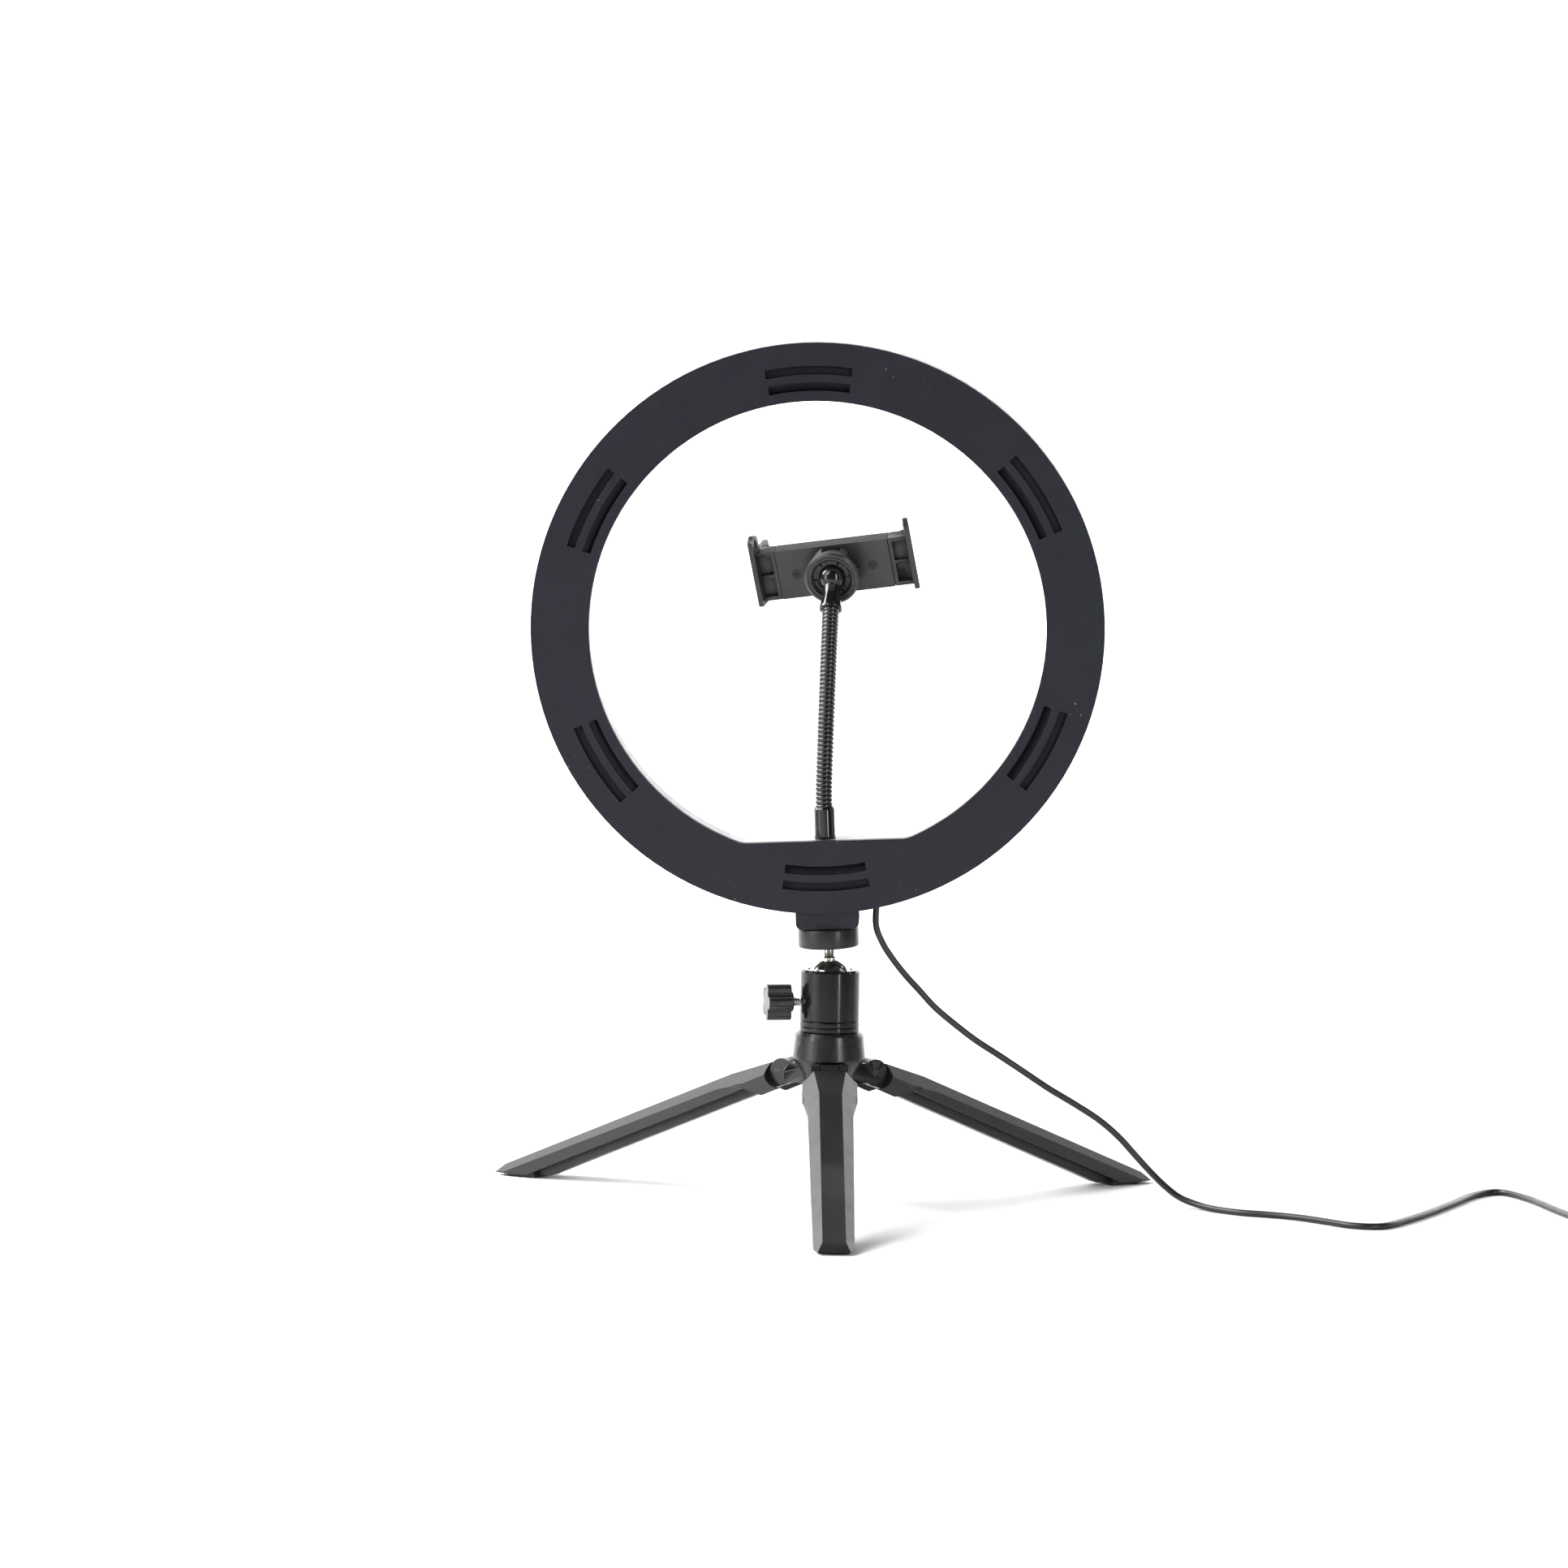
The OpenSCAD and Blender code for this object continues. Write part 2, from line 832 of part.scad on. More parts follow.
// A nylon band round the ball's middle, which carries one of its two tilts
module ball_liner() {
    color([0.82, 0.82, 0.8])
        translate([0, axis_y, ball_z])
            difference() {
                sphere(ball_r + fit_gap + ball_liner_wall);
                sphere(ball_r + fit_gap);
                translate([-20, -20, liner_top])
                    cube([40, 40, 20]);
                translate([-20, -20, liner_bottom - 20])
                    cube([40, 40, 20]);
            }
}

head_low = 83.8;
head_high = 107.2;
head_floor = 88.4;
knob_z = 92.4;
lock_r = 2.2;

// Along the lock screw's axis, outwards from the head's axis
module on_lock() {
    translate([0, axis_y, knob_z])
        rotate([0, 0, knob_azimuth])
            rotate([0, 90, 0])
                children();
}

module head_body() {
    cup_r = ball_r + 2 * fit_gap + ball_liner_wall;
    color([0.03, 0.03, 0.04])
        difference() {
            translate([0, axis_y, 0]) {
                translate([0, 0, head_low])
                    cylinder(r1 = head_r - 0.4, r2 = head_r, h = 0.4);
                translate([0, 0, head_low + 0.4 - eps])
                    cylinder(r = head_r, h = head_high - head_low - 1.4);
                translate([0, 0, head_high - 1 - 2 * eps])
                    cylinder(r1 = head_r, r2 = head_r - 1, h = 1);
            }
            translate([0, axis_y, ball_z]) {
                sphere(cup_r);
                translate([0, 0, head_floor - ball_z])
                    cylinder(r = cup_r, h = ball_z - head_floor);
            }
            translate([0, axis_y, head_low - 1])
                cylinder(r = stud_thread_r + 0.03, h = 8);
            on_lock()
                translate([0, 0, 8])
                    cylinder(r = lock_r + 0.03, h = 10, $fn = 64);
        }
}

// A nylon cup under the ball, which the lock screw wedges up; its rim clears the tilted liner
module pressure_pad() {
    color([0.85, 0.85, 0.83])
        difference() {
            translate([0, axis_y, head_floor + 0.1])
                cylinder(r = ball_r + 0.6, h = 5.2);
            translate([0, axis_y, ball_z])
                sphere(ball_r + 0.1);
            translate([0, axis_y, ball_z])
                difference() {
                    sphere(ball_r + 1.2);
                    translate([0, 0, -20])
                        cylinder(r = 7.2, h = 40);
                }
            on_lock()
                translate([0, 0, 5])
                    cylinder(r = lock_r + 0.3, h = 10, $fn = 64);
        }
}

knob_near = 17.4;
knob_len = 12.4;
knob_lobes = 5;

module lock_screw() {
    color([0.8, 0.79, 0.76])
        on_lock() {
            translate([0, 0, 10.6])
                cylinder(r1 = lock_r - 0.8, r2 = lock_r, h = 0.9, $fn = 64);
            translate([0, 0, 11.5 - eps])
                cylinder(r = lock_r, h = knob_near - 11.5 + 7, $fn = 64);
        }
}

// A lobed grip of five wings
module lock_knob() {
    color([0.05, 0.05, 0.06])
        on_lock()
            difference() {
                union() {
                    translate([0, 0, knob_near])
                        cylinder(r = 4.6, h = 1.2 + eps, $fn = 64);
                    translate([0, 0, knob_near + 1.2])
                        linear_extrude(knob_len - 1.2)
                            union() {
                                circle(5.6, $fn = 64);
                                for (k = [0 : knob_lobes - 1])
                                    rotate([0, 0, k * 360 / knob_lobes + 18])
                                        translate([5.6, 0])
                                            circle(2.9, $fn = 48);
                            }
                }
                translate([0, 0, knob_near - 1])
                    cylinder(r = lock_r, h = 8, $fn = 64);
            }
}

// ---------- tripod ----------

ring_low = 78.5;
ring_high = 83.5;

module base_ring() {
    color([0.06, 0.06, 0.07])
        translate([0, axis_y, 0])
            difference() {
                union() {
                    translate([0, 0, ring_low])
                        cylinder(r = head_r - 0.5, h = 0.6);
                    translate([0, 0, ring_low + 0.6 - eps])
                        cylinder(r = head_r + 0.1, h = 1.9);
                    translate([0, 0, ring_low + 2.5 - 2 * eps])
                        cylinder(r = head_r - 0.3, h = 0.4);
                    translate([0, 0, ring_low + 2.9 - 3 * eps])
                        cylinder(r = head_r + 0.1, h = ring_high - ring_low - 2.9);
                }
                translate([0, 0, ring_low - 1])
                    cylinder(r = stud_thread_r, h = 10);
            }
}

hub_top = 78.5;
skirt_z = 66.6;
hub_low = 55;
knuckle_r = 6;
ear_r = 6.2;
slot_w = 9;
ear_w = 16.6;
pin_r = 1.5;
legs = [-90, 30, 150];

module hub() {
    color([0.08, 0.08, 0.09])
        difference() {
            union() {
                translate([0, axis_y, 0])
                    rotate_extrude()
                        polygon([
                            [0, hub_low], [11.2, hub_low], [12.4, 60], [16.1, 65.2], [16.7, skirt_z],
                            [15.6, hub_top - 1.2], [14.7, hub_top], [0, hub_top]
                        ]);
                for (a = legs)
                    on_leg(a) {
                        rotate([90, 0, 0])
                            cylinder(r = ear_r, h = ear_w, center = true, $fn = 64);
                        translate([-12, -ear_w / 2, -4.5])
                            cube([12, ear_w, 9]);
                    }
            }
            for (a = legs)
                on_leg(a) {
                    translate([-8.6, -slot_w / 2, -12])
                        cube([20, slot_w, 18.6]);
                    rotate([90, 0, 0])
                        cylinder(r = pin_r, h = ear_w + 2, center = true, $fn = 48);
                }
            translate([0, axis_y, hub_top - 13])
                cylinder(r = stud_thread_r, h = 14);
        }
}

module hub_screw() {
    color([0.75, 0.75, 0.77])
        translate([0, axis_y, hub_top - 12])
            cylinder(r = stud_thread_r, h = head_floor - hub_top + 11.6);
}

module leg_pins() {
    color([0.7, 0.7, 0.72])
        for (a = legs)
            on_leg(a)
                rotate([90, 0, 0])
                    cylinder(r = pin_r, h = ear_w, center = true, $fn = 48);
}

tip_rise = 7;
leg_len = (tip_r - hinge_r - tip_rise * sin(leg_slope)) / cos(leg_slope);
leg_top = 7.8;
leg_edge = -1;
leg_wall = 2;
rail_low = -5;
rail_w = 7;
mouth_r = 7.1;
foot_clear = 1.4;
facet_w = 10.4;
dimple_r = 12;
foot_len = 20;

// The leg's outline from above, in its own sloping frame
module leg_plan_2d(inset) {
    shoulder = leg_shoulder_w / 2 - inset;
    waist = leg_shoulder_w / 2 - 2.2 - inset;
    end = leg_foot_w / 2 - inset;
    near = inset > 0 ? -1 : 0;
    polygon([
        [near, -shoulder + 1], [4, -shoulder], [21, -shoulder], [34, -waist], [leg_len - 6, -end],
        [leg_len - inset, -end + 2], [leg_len - inset, end - 2], [leg_len - 6, end],
        [34, waist], [21, shoulder], [4, shoulder], [near, shoulder - 1]
    ]);
}

// The leg's outline from the side
module leg_side_2d() {
    polygon([
        [0, -7], [0, 5.2], [5, 6], [22, leg_top - 0.4], [27, leg_top],
        [leg_len - 6, leg_top], [leg_len, leg_top - 2], [leg_len, leg_top - 2.4],
        [leg_len - 7, 2.2], [leg_len - 12, leg_edge], [20, leg_edge], [12, -7]
    ]);
}

// The channel's outline from the side, open below and at the hinge
module channel_side_2d(inset) {
    polygon([
        [-1, -16], [-1, 5 - inset], [5, 6 - inset], [22, leg_top - 0.4 - inset],
        [27, leg_top - inset], [leg_len - 6, leg_top - inset],
        [leg_len - inset, leg_top - 2 - inset], [leg_len - inset, -16]
    ]);
}

// The leg's section: a flat back with a bevel down to each side
module leg_section_2d(inset) {
    half = leg_shoulder_w / 2 + 1 - inset;
    polygon([
        [-half, -19], [half, -19], [half, 0.4 - inset], [half - 1.4, 1.6 - inset],
        [facet_w / 2 - 0.5, leg_top + 0.4 - inset], [-facet_w / 2 + 0.5, leg_top + 0.4 - inset],
        [-half + 1.4, 1.6 - inset], [-half, 0.4 - inset]
    ]);
}

// The leg's outer solid, or with an inset the channel inside it
module leg_solid(inset) {
    intersection() {
        rotate([90, 0, 0])
            linear_extrude(40, center = true) {
                if (inset > 0)
                    channel_side_2d(inset);
                else
                    leg_side_2d();
            }
        translate([0, 0, -20])
            linear_extrude(40)
                leg_plan_2d(inset);
        translate([-2, 0, 0])
            rotate([90, 0, 90])
                linear_extrude(leg_len + 5)
                    leg_section_2d(inset);
    }
}

module leg(azimuth) {
    color([0.17, 0.17, 0.18])
        difference() {
            on_leg(azimuth)
                rotate([0, leg_slope, 0])
                    difference() {
                        union() {
                            difference() {
                                leg_solid(0);
                                leg_solid(leg_wall);
                                rotate([90, 0, 0])
                                    cylinder(r = mouth_r, h = 60, center = true);
                                for (s = [-1, 1])
                                    translate([24, s * (leg_shoulder_w / 2 + dimple_r - 0.9), 3])
                                        sphere(dimple_r);
                            }
                            // the tongue and the rail under the leg's back
                            rotate([90, 0, 0])
                                linear_extrude(slot_w - 0.6, center = true)
                                    polygon([
                                        [0, knuckle_r - 0.4], [6, 5.4], [14, 5.4], [14, rail_low],
                                        [0, -knuckle_r + 0.4]
                                    ]);
                            rotate([90, 0, 0])
                                linear_extrude(rail_w, center = true)
                                    polygon([
                                        [8, rail_low], [8, 5.4], [22, leg_top - 1.8], [27, leg_top - 1.2],
                                        [leg_len - foot_len, leg_top - 1.2], [leg_len - foot_len, rail_low]
                                    ]);
                            rotate([90, 0, 0])
                                cylinder(r = knuckle_r, h = slot_w - 0.6, center = true, $fn = 64);
                        }
                        rotate([90, 0, 0])
                            cylinder(r = pin_r + 0.05, h = 20, center = true, $fn = 48);
                    }
            on_leg(azimuth)
                translate([60, -20, -hinge_z - 20])
                    cube([120, 40, 20 + foot_clear]);
        }
}

module front_leg() {
    leg(legs[0]);
}

module right_leg() {
    leg(legs[1]);
}

module left_leg() {
    leg(legs[2]);
}

// A rubber pad that fills the end of the leg's channel and stands proud of it
module foot(azimuth) {
    color([0.04, 0.04, 0.04])
        on_leg(azimuth)
            intersection() {
                rotate([0, leg_slope, 0])
                    intersection() {
                        leg_solid(leg_wall + 0.05);
                        translate([leg_len - foot_len + 0.1, -20, -20])
                            cube([40, 40, 40]);
                    }
                translate([0, 0, -hinge_z])
                    rotate([90, 0, 0])
                        linear_extrude(40, center = true)
                            polygon([
                                [120, 0], [tip_r - hinge_r - 8, 0], [tip_r - hinge_r - 3, 3],
                                [tip_r - hinge_r - 1, 12], [120, 20]
                            ]);
            }
}

module front_foot() {
    foot(legs[0]);
}

module right_foot() {
    foot(legs[1]);
}

module left_foot() {
    foot(legs[2]);
}

// ---------- lead, in-line remote and plug ----------

floor_z = lead_d / 2;
remote_at = [354, -70];
remote_len = 74;
remote_w = 22;
remote_h = 10;
remote_split = 5;
coil_at = [398, -68];

// The lead from the light to the remote: down beside the stand and over the floor
front_route = [
    [20.6, 37.7, 136.2], [20.5, 37.8, 128], [23.5, 38, 120], [28, 38, 113], [34, 38, 105.5],
    [41, 38, 98], [48, 38.5, 90.5], [57, 39, 83], [67, 39.5, 75.5], [78, 40, 68.5],
    [89.5, 40.5, 61], [101, 40.5, 53.5], [113, 40.5, 46.5], [124, 40.5, 39.5], [133, 40, 32],
    [140, 39.5, 24.5], [147, 39, 17], [154, 37, 10.3], [161, 34.5, 5.2], [169, 30, 2.5],
    [177, 22, floor_z], [188, 12, floor_z], [201, 6, floor_z], [213, -2, floor_z],
    [224, -14, floor_z], [235, -26, floor_z], [248, -27, floor_z], [260, -8, floor_z],
    [273, 18, floor_z], [287, 50, floor_z], [301, 82, floor_z], [314, 94, floor_z],
    [325, 72, floor_z], [333, 36, floor_z], [341, 4, floor_z], [349, -17, 2.4],
    [354, -32.9, remote_split]
];
// From the remote's far end round to the coil
rear_route = [
    [354, -107.1, remote_split], [354, -112, 4.6], [354, -117, 3.8], [355.6, -123.1, 2.8],
    [360.1, -127.6, 2], [366.3, -129.2, 1.6], [372.4, -127.6, floor_z], [376.9, -123.1, floor_z],
    [378.5, -117, floor_z], [378.5, -106, floor_z], [378.5, -94, floor_z], [378.5, -79, floor_z]
];

function unit(v) = v / norm(v);
function spline(a, b, c, d, t) =
    0.5 * (2 * b + (c - a) * t + (2 * a - 5 * b + 4 * c - d) * t * t
    + (3 * b - a - 3 * c + d) * t * t * t);
function smooth(route) = [
    for (k = [0 : len(route) - 2])
        for (t = [0, 0.5])
            spline(
                route[max(k - 1, 0)], route[k], route[k + 1], route[min(k + 2, len(route) - 1)], t
            ),
    route[len(route) - 1]
];
function heading(path, k) = unit(path[min(k + 1, len(path) - 1)] - path[max(k - 1, 0)]);
function square_on(v, along) = unit(v - (v * along) * along);
// Each ring's sideways direction is carried on from the ring before, so the tube doesn't twist
function sides(path, k) =
    k == 0 ? [square_on([1, 0.2, 0], heading(path, 0))]
    : let (before = sides(path, k - 1))
        concat(before, [square_on(before[k - 1], heading(path, k))]);

tube_sides = 8;

function tube_points(path, across) = [
    for (k = [0 : len(path) - 1])
        for (j = [0 : tube_sides - 1])
            path[k] + lead_d / 2 * (
                cos(j * 360 / tube_sides) * across[k]
                + sin(j * 360 / tube_sides) * cross(heading(path, k), across[k])
            )
];
function tube_walls(rings) = [
    for (k = [0 : rings - 2])
        for (j = [0 : tube_sides - 1])
            let (low = k * tube_sides, high = low + tube_sides, next = (j + 1) % tube_sides)
                for (half = [[low + j, high + j, low + next], [low + next, high + j, high + next]])
                    half
];

module tube(route) {
    path = smooth(route);
    rings = len(path);
    start = [for (j = [0 : tube_sides - 1]) j];
    end = [for (j = [tube_sides - 1 : -1 : 0]) (rings - 1) * tube_sides + j];
    polyhedron(
        tube_points(path, sides(path, rings - 1)),
        concat([start], tube_walls(rings), [end]),
        convexity = 10
    );
}

module lead_front() {
    color([0.07, 0.07, 0.08])
        tube(front_route);
}

module lead_rear() {
    color([0.07, 0.07, 0.08])
        tube(rear_route);
}

plug_x = coil_at[0] - coil_in_r - floor_z;
tail_y = coil_at[1] + 40;

module lead_coil() {
    color([0.07, 0.07, 0.08]) {
        translate([coil_at[0], coil_at[1], 0])
            rotate_extrude()
                translate([coil_in_r, 0])
                    square([coil_out_r - coil_in_r, coil_h]);
        translate([plug_x, coil_at[1] + 13, plug_z])
            rotate([-90, 0, 0])
                cylinder(r = lead_d / 2, h = tail_y - coil_at[1] - 13, $fn = 32);
    }
}

tie_w = 4;

// A loop of strap round the coil's turns
module coil_tie() {
    color([0.1, 0.1, 0.1])
        translate([coil_at[0] - tie_w / 2, coil_at[1] - coil_out_r - 1, 0])
            difference() {
                cube([tie_w, coil_out_r - coil_in_r + 2.2, coil_h + 1]);
                translate([-1, 0.7, -1])
                    cube([tie_w + 2, coil_out_r - coil_in_r + 0.8, coil_h + 1]);
            }
}

plug_z = 4;
grip_len = 24;

module usb_grip() {
    color([0.08, 0.08, 0.09])
        translate([plug_x, tail_y, plug_z])
            difference() {
                union() {
                    translate([0, 4, 0])
                        rotate([-90, 0, 0])
                            linear_extrude(grip_len - 4)
                                square([15.4, 8], center = true);
                    rotate([-90, 0, 0])
                        cylinder(r1 = 2.6, r2 = 3.6, h = 4 + eps, $fn = 48);
                }
                translate([-6.05, grip_len - 5, -2.3])
                    cube([12.1, 6, 4.6]);
            }
}

module usb_plug() {
    color([0.78, 0.78, 0.8])
        translate([plug_x, tail_y + grip_len - 5, plug_z])
            difference() {
                translate([-6, 0, -2.25])
                    cube([12, 17, 4.5]);
                translate([-5.6, 6, -1.85])
                    cube([11.2, 12, 1.85]);
            }
}

// A rounded slab on the remote's outline, standing on the plane at a height
module remote_slab(low, high, inset) {
    corner = 5 - inset;
    translate([remote_at[0], remote_at[1], low])
        linear_extrude(high - low) {
            square([remote_w - 2 * inset, remote_len - 2 * inset - 2 * corner], center = true);
            square([remote_w - 2 * inset - 2 * corner, remote_len - 2 * inset], center = true);
            for (sx = [-1, 1])
                for (sy = [-1, 1])
                    translate([
                        sx * (remote_w / 2 - inset - corner), sy * (remote_len / 2 - inset - corner)
                    ])
                        circle(corner, $fn = 48);
        }
}

button_d = 9;
button_gap = 13.5;
button_low = 7;
button_high = 11.2;

module on_button(k) {
    translate([remote_at[0], remote_at[1] + (1.5 - k) * button_gap, 0])
        children();
}

module remote_base() {
    color([0.08, 0.08, 0.09])
        difference() {
            union() {
                remote_slab(0.6, remote_split, 0);
                remote_slab(0, 0.6 + eps, 0.6);
            }
            remote_slab(1.6, remote_h, 1.5);
        }
}

module remote_top() {
    color([0.08, 0.08, 0.09])
        difference() {
            union() {
                remote_slab(remote_split + 0.05, remote_h - 0.8, 0);
                remote_slab(remote_h - 0.8 - eps, remote_h, 0.8);
            }
            remote_slab(remote_split - 1, remote_h - 1.4, 1.5);
            for (k = [0 : 3])
                on_button(k)
                    cylinder(r = button_d / 2 + 0.3, h = 20, $fn = 64);
        }
}

// A key: a cap that stands out of the case and a flange that keeps it in
module button(k) {
    color([0.2, 0.2, 0.21])
        on_button(k) {
            translate([0, 0, button_low])
                cylinder(r = button_d / 2, h = button_high - button_low - 0.4, $fn = 64);
            translate([0, 0, button_high - 0.4 - eps])
                cylinder(r1 = button_d / 2, r2 = button_d / 2 - 0.4, h = 0.4, $fn = 64);
            translate([0, 0, button_low + 0.5])
                cylinder(r = button_d / 2 + 1, h = 0.8, $fn = 64);
        }
}

module button_power() {
    button(0);
}

module button_brighter() {
    button(1);
}

module button_dimmer() {
    button(2);
}

module button_colour() {
    button(3);
}

rear_housing();
diffuser();
led_board();
warm_leds();
cool_leds();
tripod_insert();
gooseneck_nut();
cable_grommet();
gooseneck_ferrule();
gooseneck_root();
gooseneck_link(1);  // gooseneck_link_1
gooseneck_link(2);  // gooseneck_link_2
gooseneck_link(3);  // gooseneck_link_3
gooseneck_link(4);  // gooseneck_link_4
gooseneck_link(5);  // gooseneck_link_5
gooseneck_link(6);  // gooseneck_link_6
gooseneck_tip();
clamp_ball();
clamp_ball_liner();
clamp_back();
clamp_front();
clamp_screws();
guide_rods();
left_spring();
right_spring();
clamp_collar();
left_jaw();
right_jaw();
left_grip();
right_grip();
platform_disc();
ball_stud();
ball_liner();
head_body();
pressure_pad();
lock_screw();
lock_knob();
base_ring();
hub();
hub_screw();
leg_pins();
front_leg();
right_leg();
left_leg();
front_foot();
right_foot();
left_foot();
lead_front();
lead_rear();
lead_coil();
coil_tie();
usb_plug();
usb_grip();
remote_top();
remote_base();
button_power();
button_brighter();
button_dimmer();
button_colour();
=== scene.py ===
"""The ring light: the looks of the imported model, its lead, and the studio round it."""

import json
import math

import bmesh
import bpy
from mathutils import Matrix, Quaternion, Vector

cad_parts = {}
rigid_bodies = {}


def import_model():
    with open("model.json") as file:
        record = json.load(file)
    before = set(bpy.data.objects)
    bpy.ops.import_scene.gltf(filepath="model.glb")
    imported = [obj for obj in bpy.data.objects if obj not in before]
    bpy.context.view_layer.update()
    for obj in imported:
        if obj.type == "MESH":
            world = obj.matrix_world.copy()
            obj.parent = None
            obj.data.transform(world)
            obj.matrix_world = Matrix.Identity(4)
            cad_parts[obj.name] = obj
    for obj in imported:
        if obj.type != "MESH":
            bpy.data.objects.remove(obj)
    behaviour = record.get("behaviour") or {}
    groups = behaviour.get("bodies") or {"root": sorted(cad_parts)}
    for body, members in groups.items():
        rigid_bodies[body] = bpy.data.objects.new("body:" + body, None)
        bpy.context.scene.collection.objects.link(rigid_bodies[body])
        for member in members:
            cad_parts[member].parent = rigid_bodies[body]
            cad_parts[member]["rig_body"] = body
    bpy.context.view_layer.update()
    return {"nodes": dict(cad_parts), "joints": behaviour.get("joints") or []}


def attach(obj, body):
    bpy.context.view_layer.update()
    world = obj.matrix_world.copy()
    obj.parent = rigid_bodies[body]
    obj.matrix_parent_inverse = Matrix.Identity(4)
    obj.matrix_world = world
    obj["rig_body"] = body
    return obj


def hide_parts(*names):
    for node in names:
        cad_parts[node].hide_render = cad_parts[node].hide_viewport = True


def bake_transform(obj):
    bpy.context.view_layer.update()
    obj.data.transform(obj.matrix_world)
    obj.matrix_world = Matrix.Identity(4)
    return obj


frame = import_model()
nodes = frame["nodes"]
joints = {j["name"]: j for j in frame["joints"]}
scene = bpy.context.scene
MM = 0.001

# ---------- camera ----------

AXIS_Y = 0.0405  # the stand's axis lies this far behind the origin
VIEW_TURN = math.radians(0.84)
VIEW_DOWN = math.radians(4.53)
VIEW_ROLL = math.radians(-0.85)
CAMERA_AWAY = 3.3993  # from the stand's axis
CAMERA_LEFT, CAMERA_UP = 0.0722, 0.461
LENS, SENSOR = 171.9, 36  # mm


def make_camera():
    """A long lens behind the light, a little above it and a little to its left."""
    data = bpy.data.cameras.new("camera")
    data.lens = LENS
    data.sensor_width = SENSOR
    data.clip_end = 100
    camera = bpy.data.objects.new("camera", data)
    scene.collection.objects.link(camera)
    ahead = Vector((
        math.sin(VIEW_TURN) * math.cos(VIEW_DOWN),
        math.cos(VIEW_TURN) * math.cos(VIEW_DOWN),
        -math.sin(VIEW_DOWN),
    ))
    camera.location = (-CAMERA_LEFT, AXIS_Y - CAMERA_AWAY, CAMERA_UP)
    camera.rotation_mode = "QUATERNION"
    camera.rotation_quaternion = Quaternion(ahead, VIEW_ROLL) @ ahead.to_track_quat("-Z", "Y")
    scene.camera = camera


make_camera()

# ---------- places that the joints give ----------


def frame_from(origin, along, near_x=(1, 0, 0)):
    """A frame at origin with +Z along a direction and +X as near as it can be to another."""
    z = Vector(along).normalized()
    x = Vector(near_x)
    x = (x - x.dot(z) * z).normalized()
    place = Matrix((x, z.cross(x), z)).transposed().to_4x4()
    place.translation = Vector(origin)
    return place


STUD = frame_from(joints["light_turn"]["pos_m"], joints["light_turn"]["axis"])
LOCK = frame_from(joints["lock_turn"]["pos_m"], joints["lock_turn"]["axis"], (0, 0, -1))
NECK_JOINTS = [j for j in frame["joints"] if j["name"].startswith("neck_")]
PIVOTS = [Vector(j["pos_m"]) for j in NECK_JOINTS]
CLAMP_BALL = Vector(joints["clamp_pitch"]["pos_m"])

# how the light leans and is turned at rest, and how far its ring's centre is above the ball
LEAN_BACK, LEAN_LEFT, TURNED = (math.radians(a) for a in (3, 2.7, -2.8))
RING_UP = 163.2
LIGHT = (
    Matrix.Translation(STUD.translation)
    @ Matrix.Rotation(TURNED, 4, "Z")
    @ Matrix.Rotation(-LEAN_LEFT, 4, "Y")
    @ Matrix.Rotation(LEAN_BACK, 4, "X")
)
RING = LIGHT @ Matrix.Translation((0, 0, RING_UP * MM)) @ Matrix.Rotation(math.pi / 2, 4, "X")

# ---------- meshes ----------

ON_AXIS = 1e-6  # a radius below this is a point on the axis, in mm
WELD = 2e-6
FLAT = math.radians(0.6)


def add_piece(name, verts, faces, body=None, replaced=()):
    """A smooth mesh piece that rides on a body, if given, and takes the place of CAD nodes."""
    mesh = bpy.data.meshes.new(name)
    mesh.from_pydata([tuple(v) for v in verts], [], faces)
    built = bmesh.new()
    built.from_mesh(mesh)
    bmesh.ops.remove_doubles(built, verts=built.verts, dist=1e-7)
    bmesh.ops.recalc_face_normals(built, faces=built.faces)
    for face in built.faces:
        face.smooth = True
    built.to_mesh(mesh)
    built.free()
    piece = bpy.data.objects.new(name, mesh)
    scene.collection.objects.link(piece)
    if body:
        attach(piece, body)
    if replaced:
        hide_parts(*replaced)
    return piece


def detailed(node, width, segments=3, angle=30):
    """A copy of a CAD node with its edges rounded, width in mm, which takes its place."""
    mesh = nodes[node].data.copy()
    mesh.materials.clear()
    piece = bpy.data.objects.new(node + "_moulding", mesh)
    scene.collection.objects.link(piece)
    built = bmesh.new()
    built.from_mesh(mesh)
    bmesh.ops.remove_doubles(built, verts=built.verts, dist=WELD)
    bmesh.ops.dissolve_limit(built, angle_limit=FLAT, verts=built.verts, edges=built.edges)
    for face in built.faces:
        face.smooth = True
    for edge in built.edges:
        edge.smooth = True
    built.to_mesh(mesh)
    built.free()
    bevel = piece.modifiers.new("bevel", "BEVEL")
    bevel.width = width * MM
    bevel.segments = segments
    bevel.limit_method = "ANGLE"
    bevel.angle_limit = math.radians(angle)
    normals = piece.modifiers.new("normals", "WEIGHTED_NORMAL")
    normals.keep_sharp = True
    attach(piece, nodes[node]["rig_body"])
    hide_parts(node)
    return piece


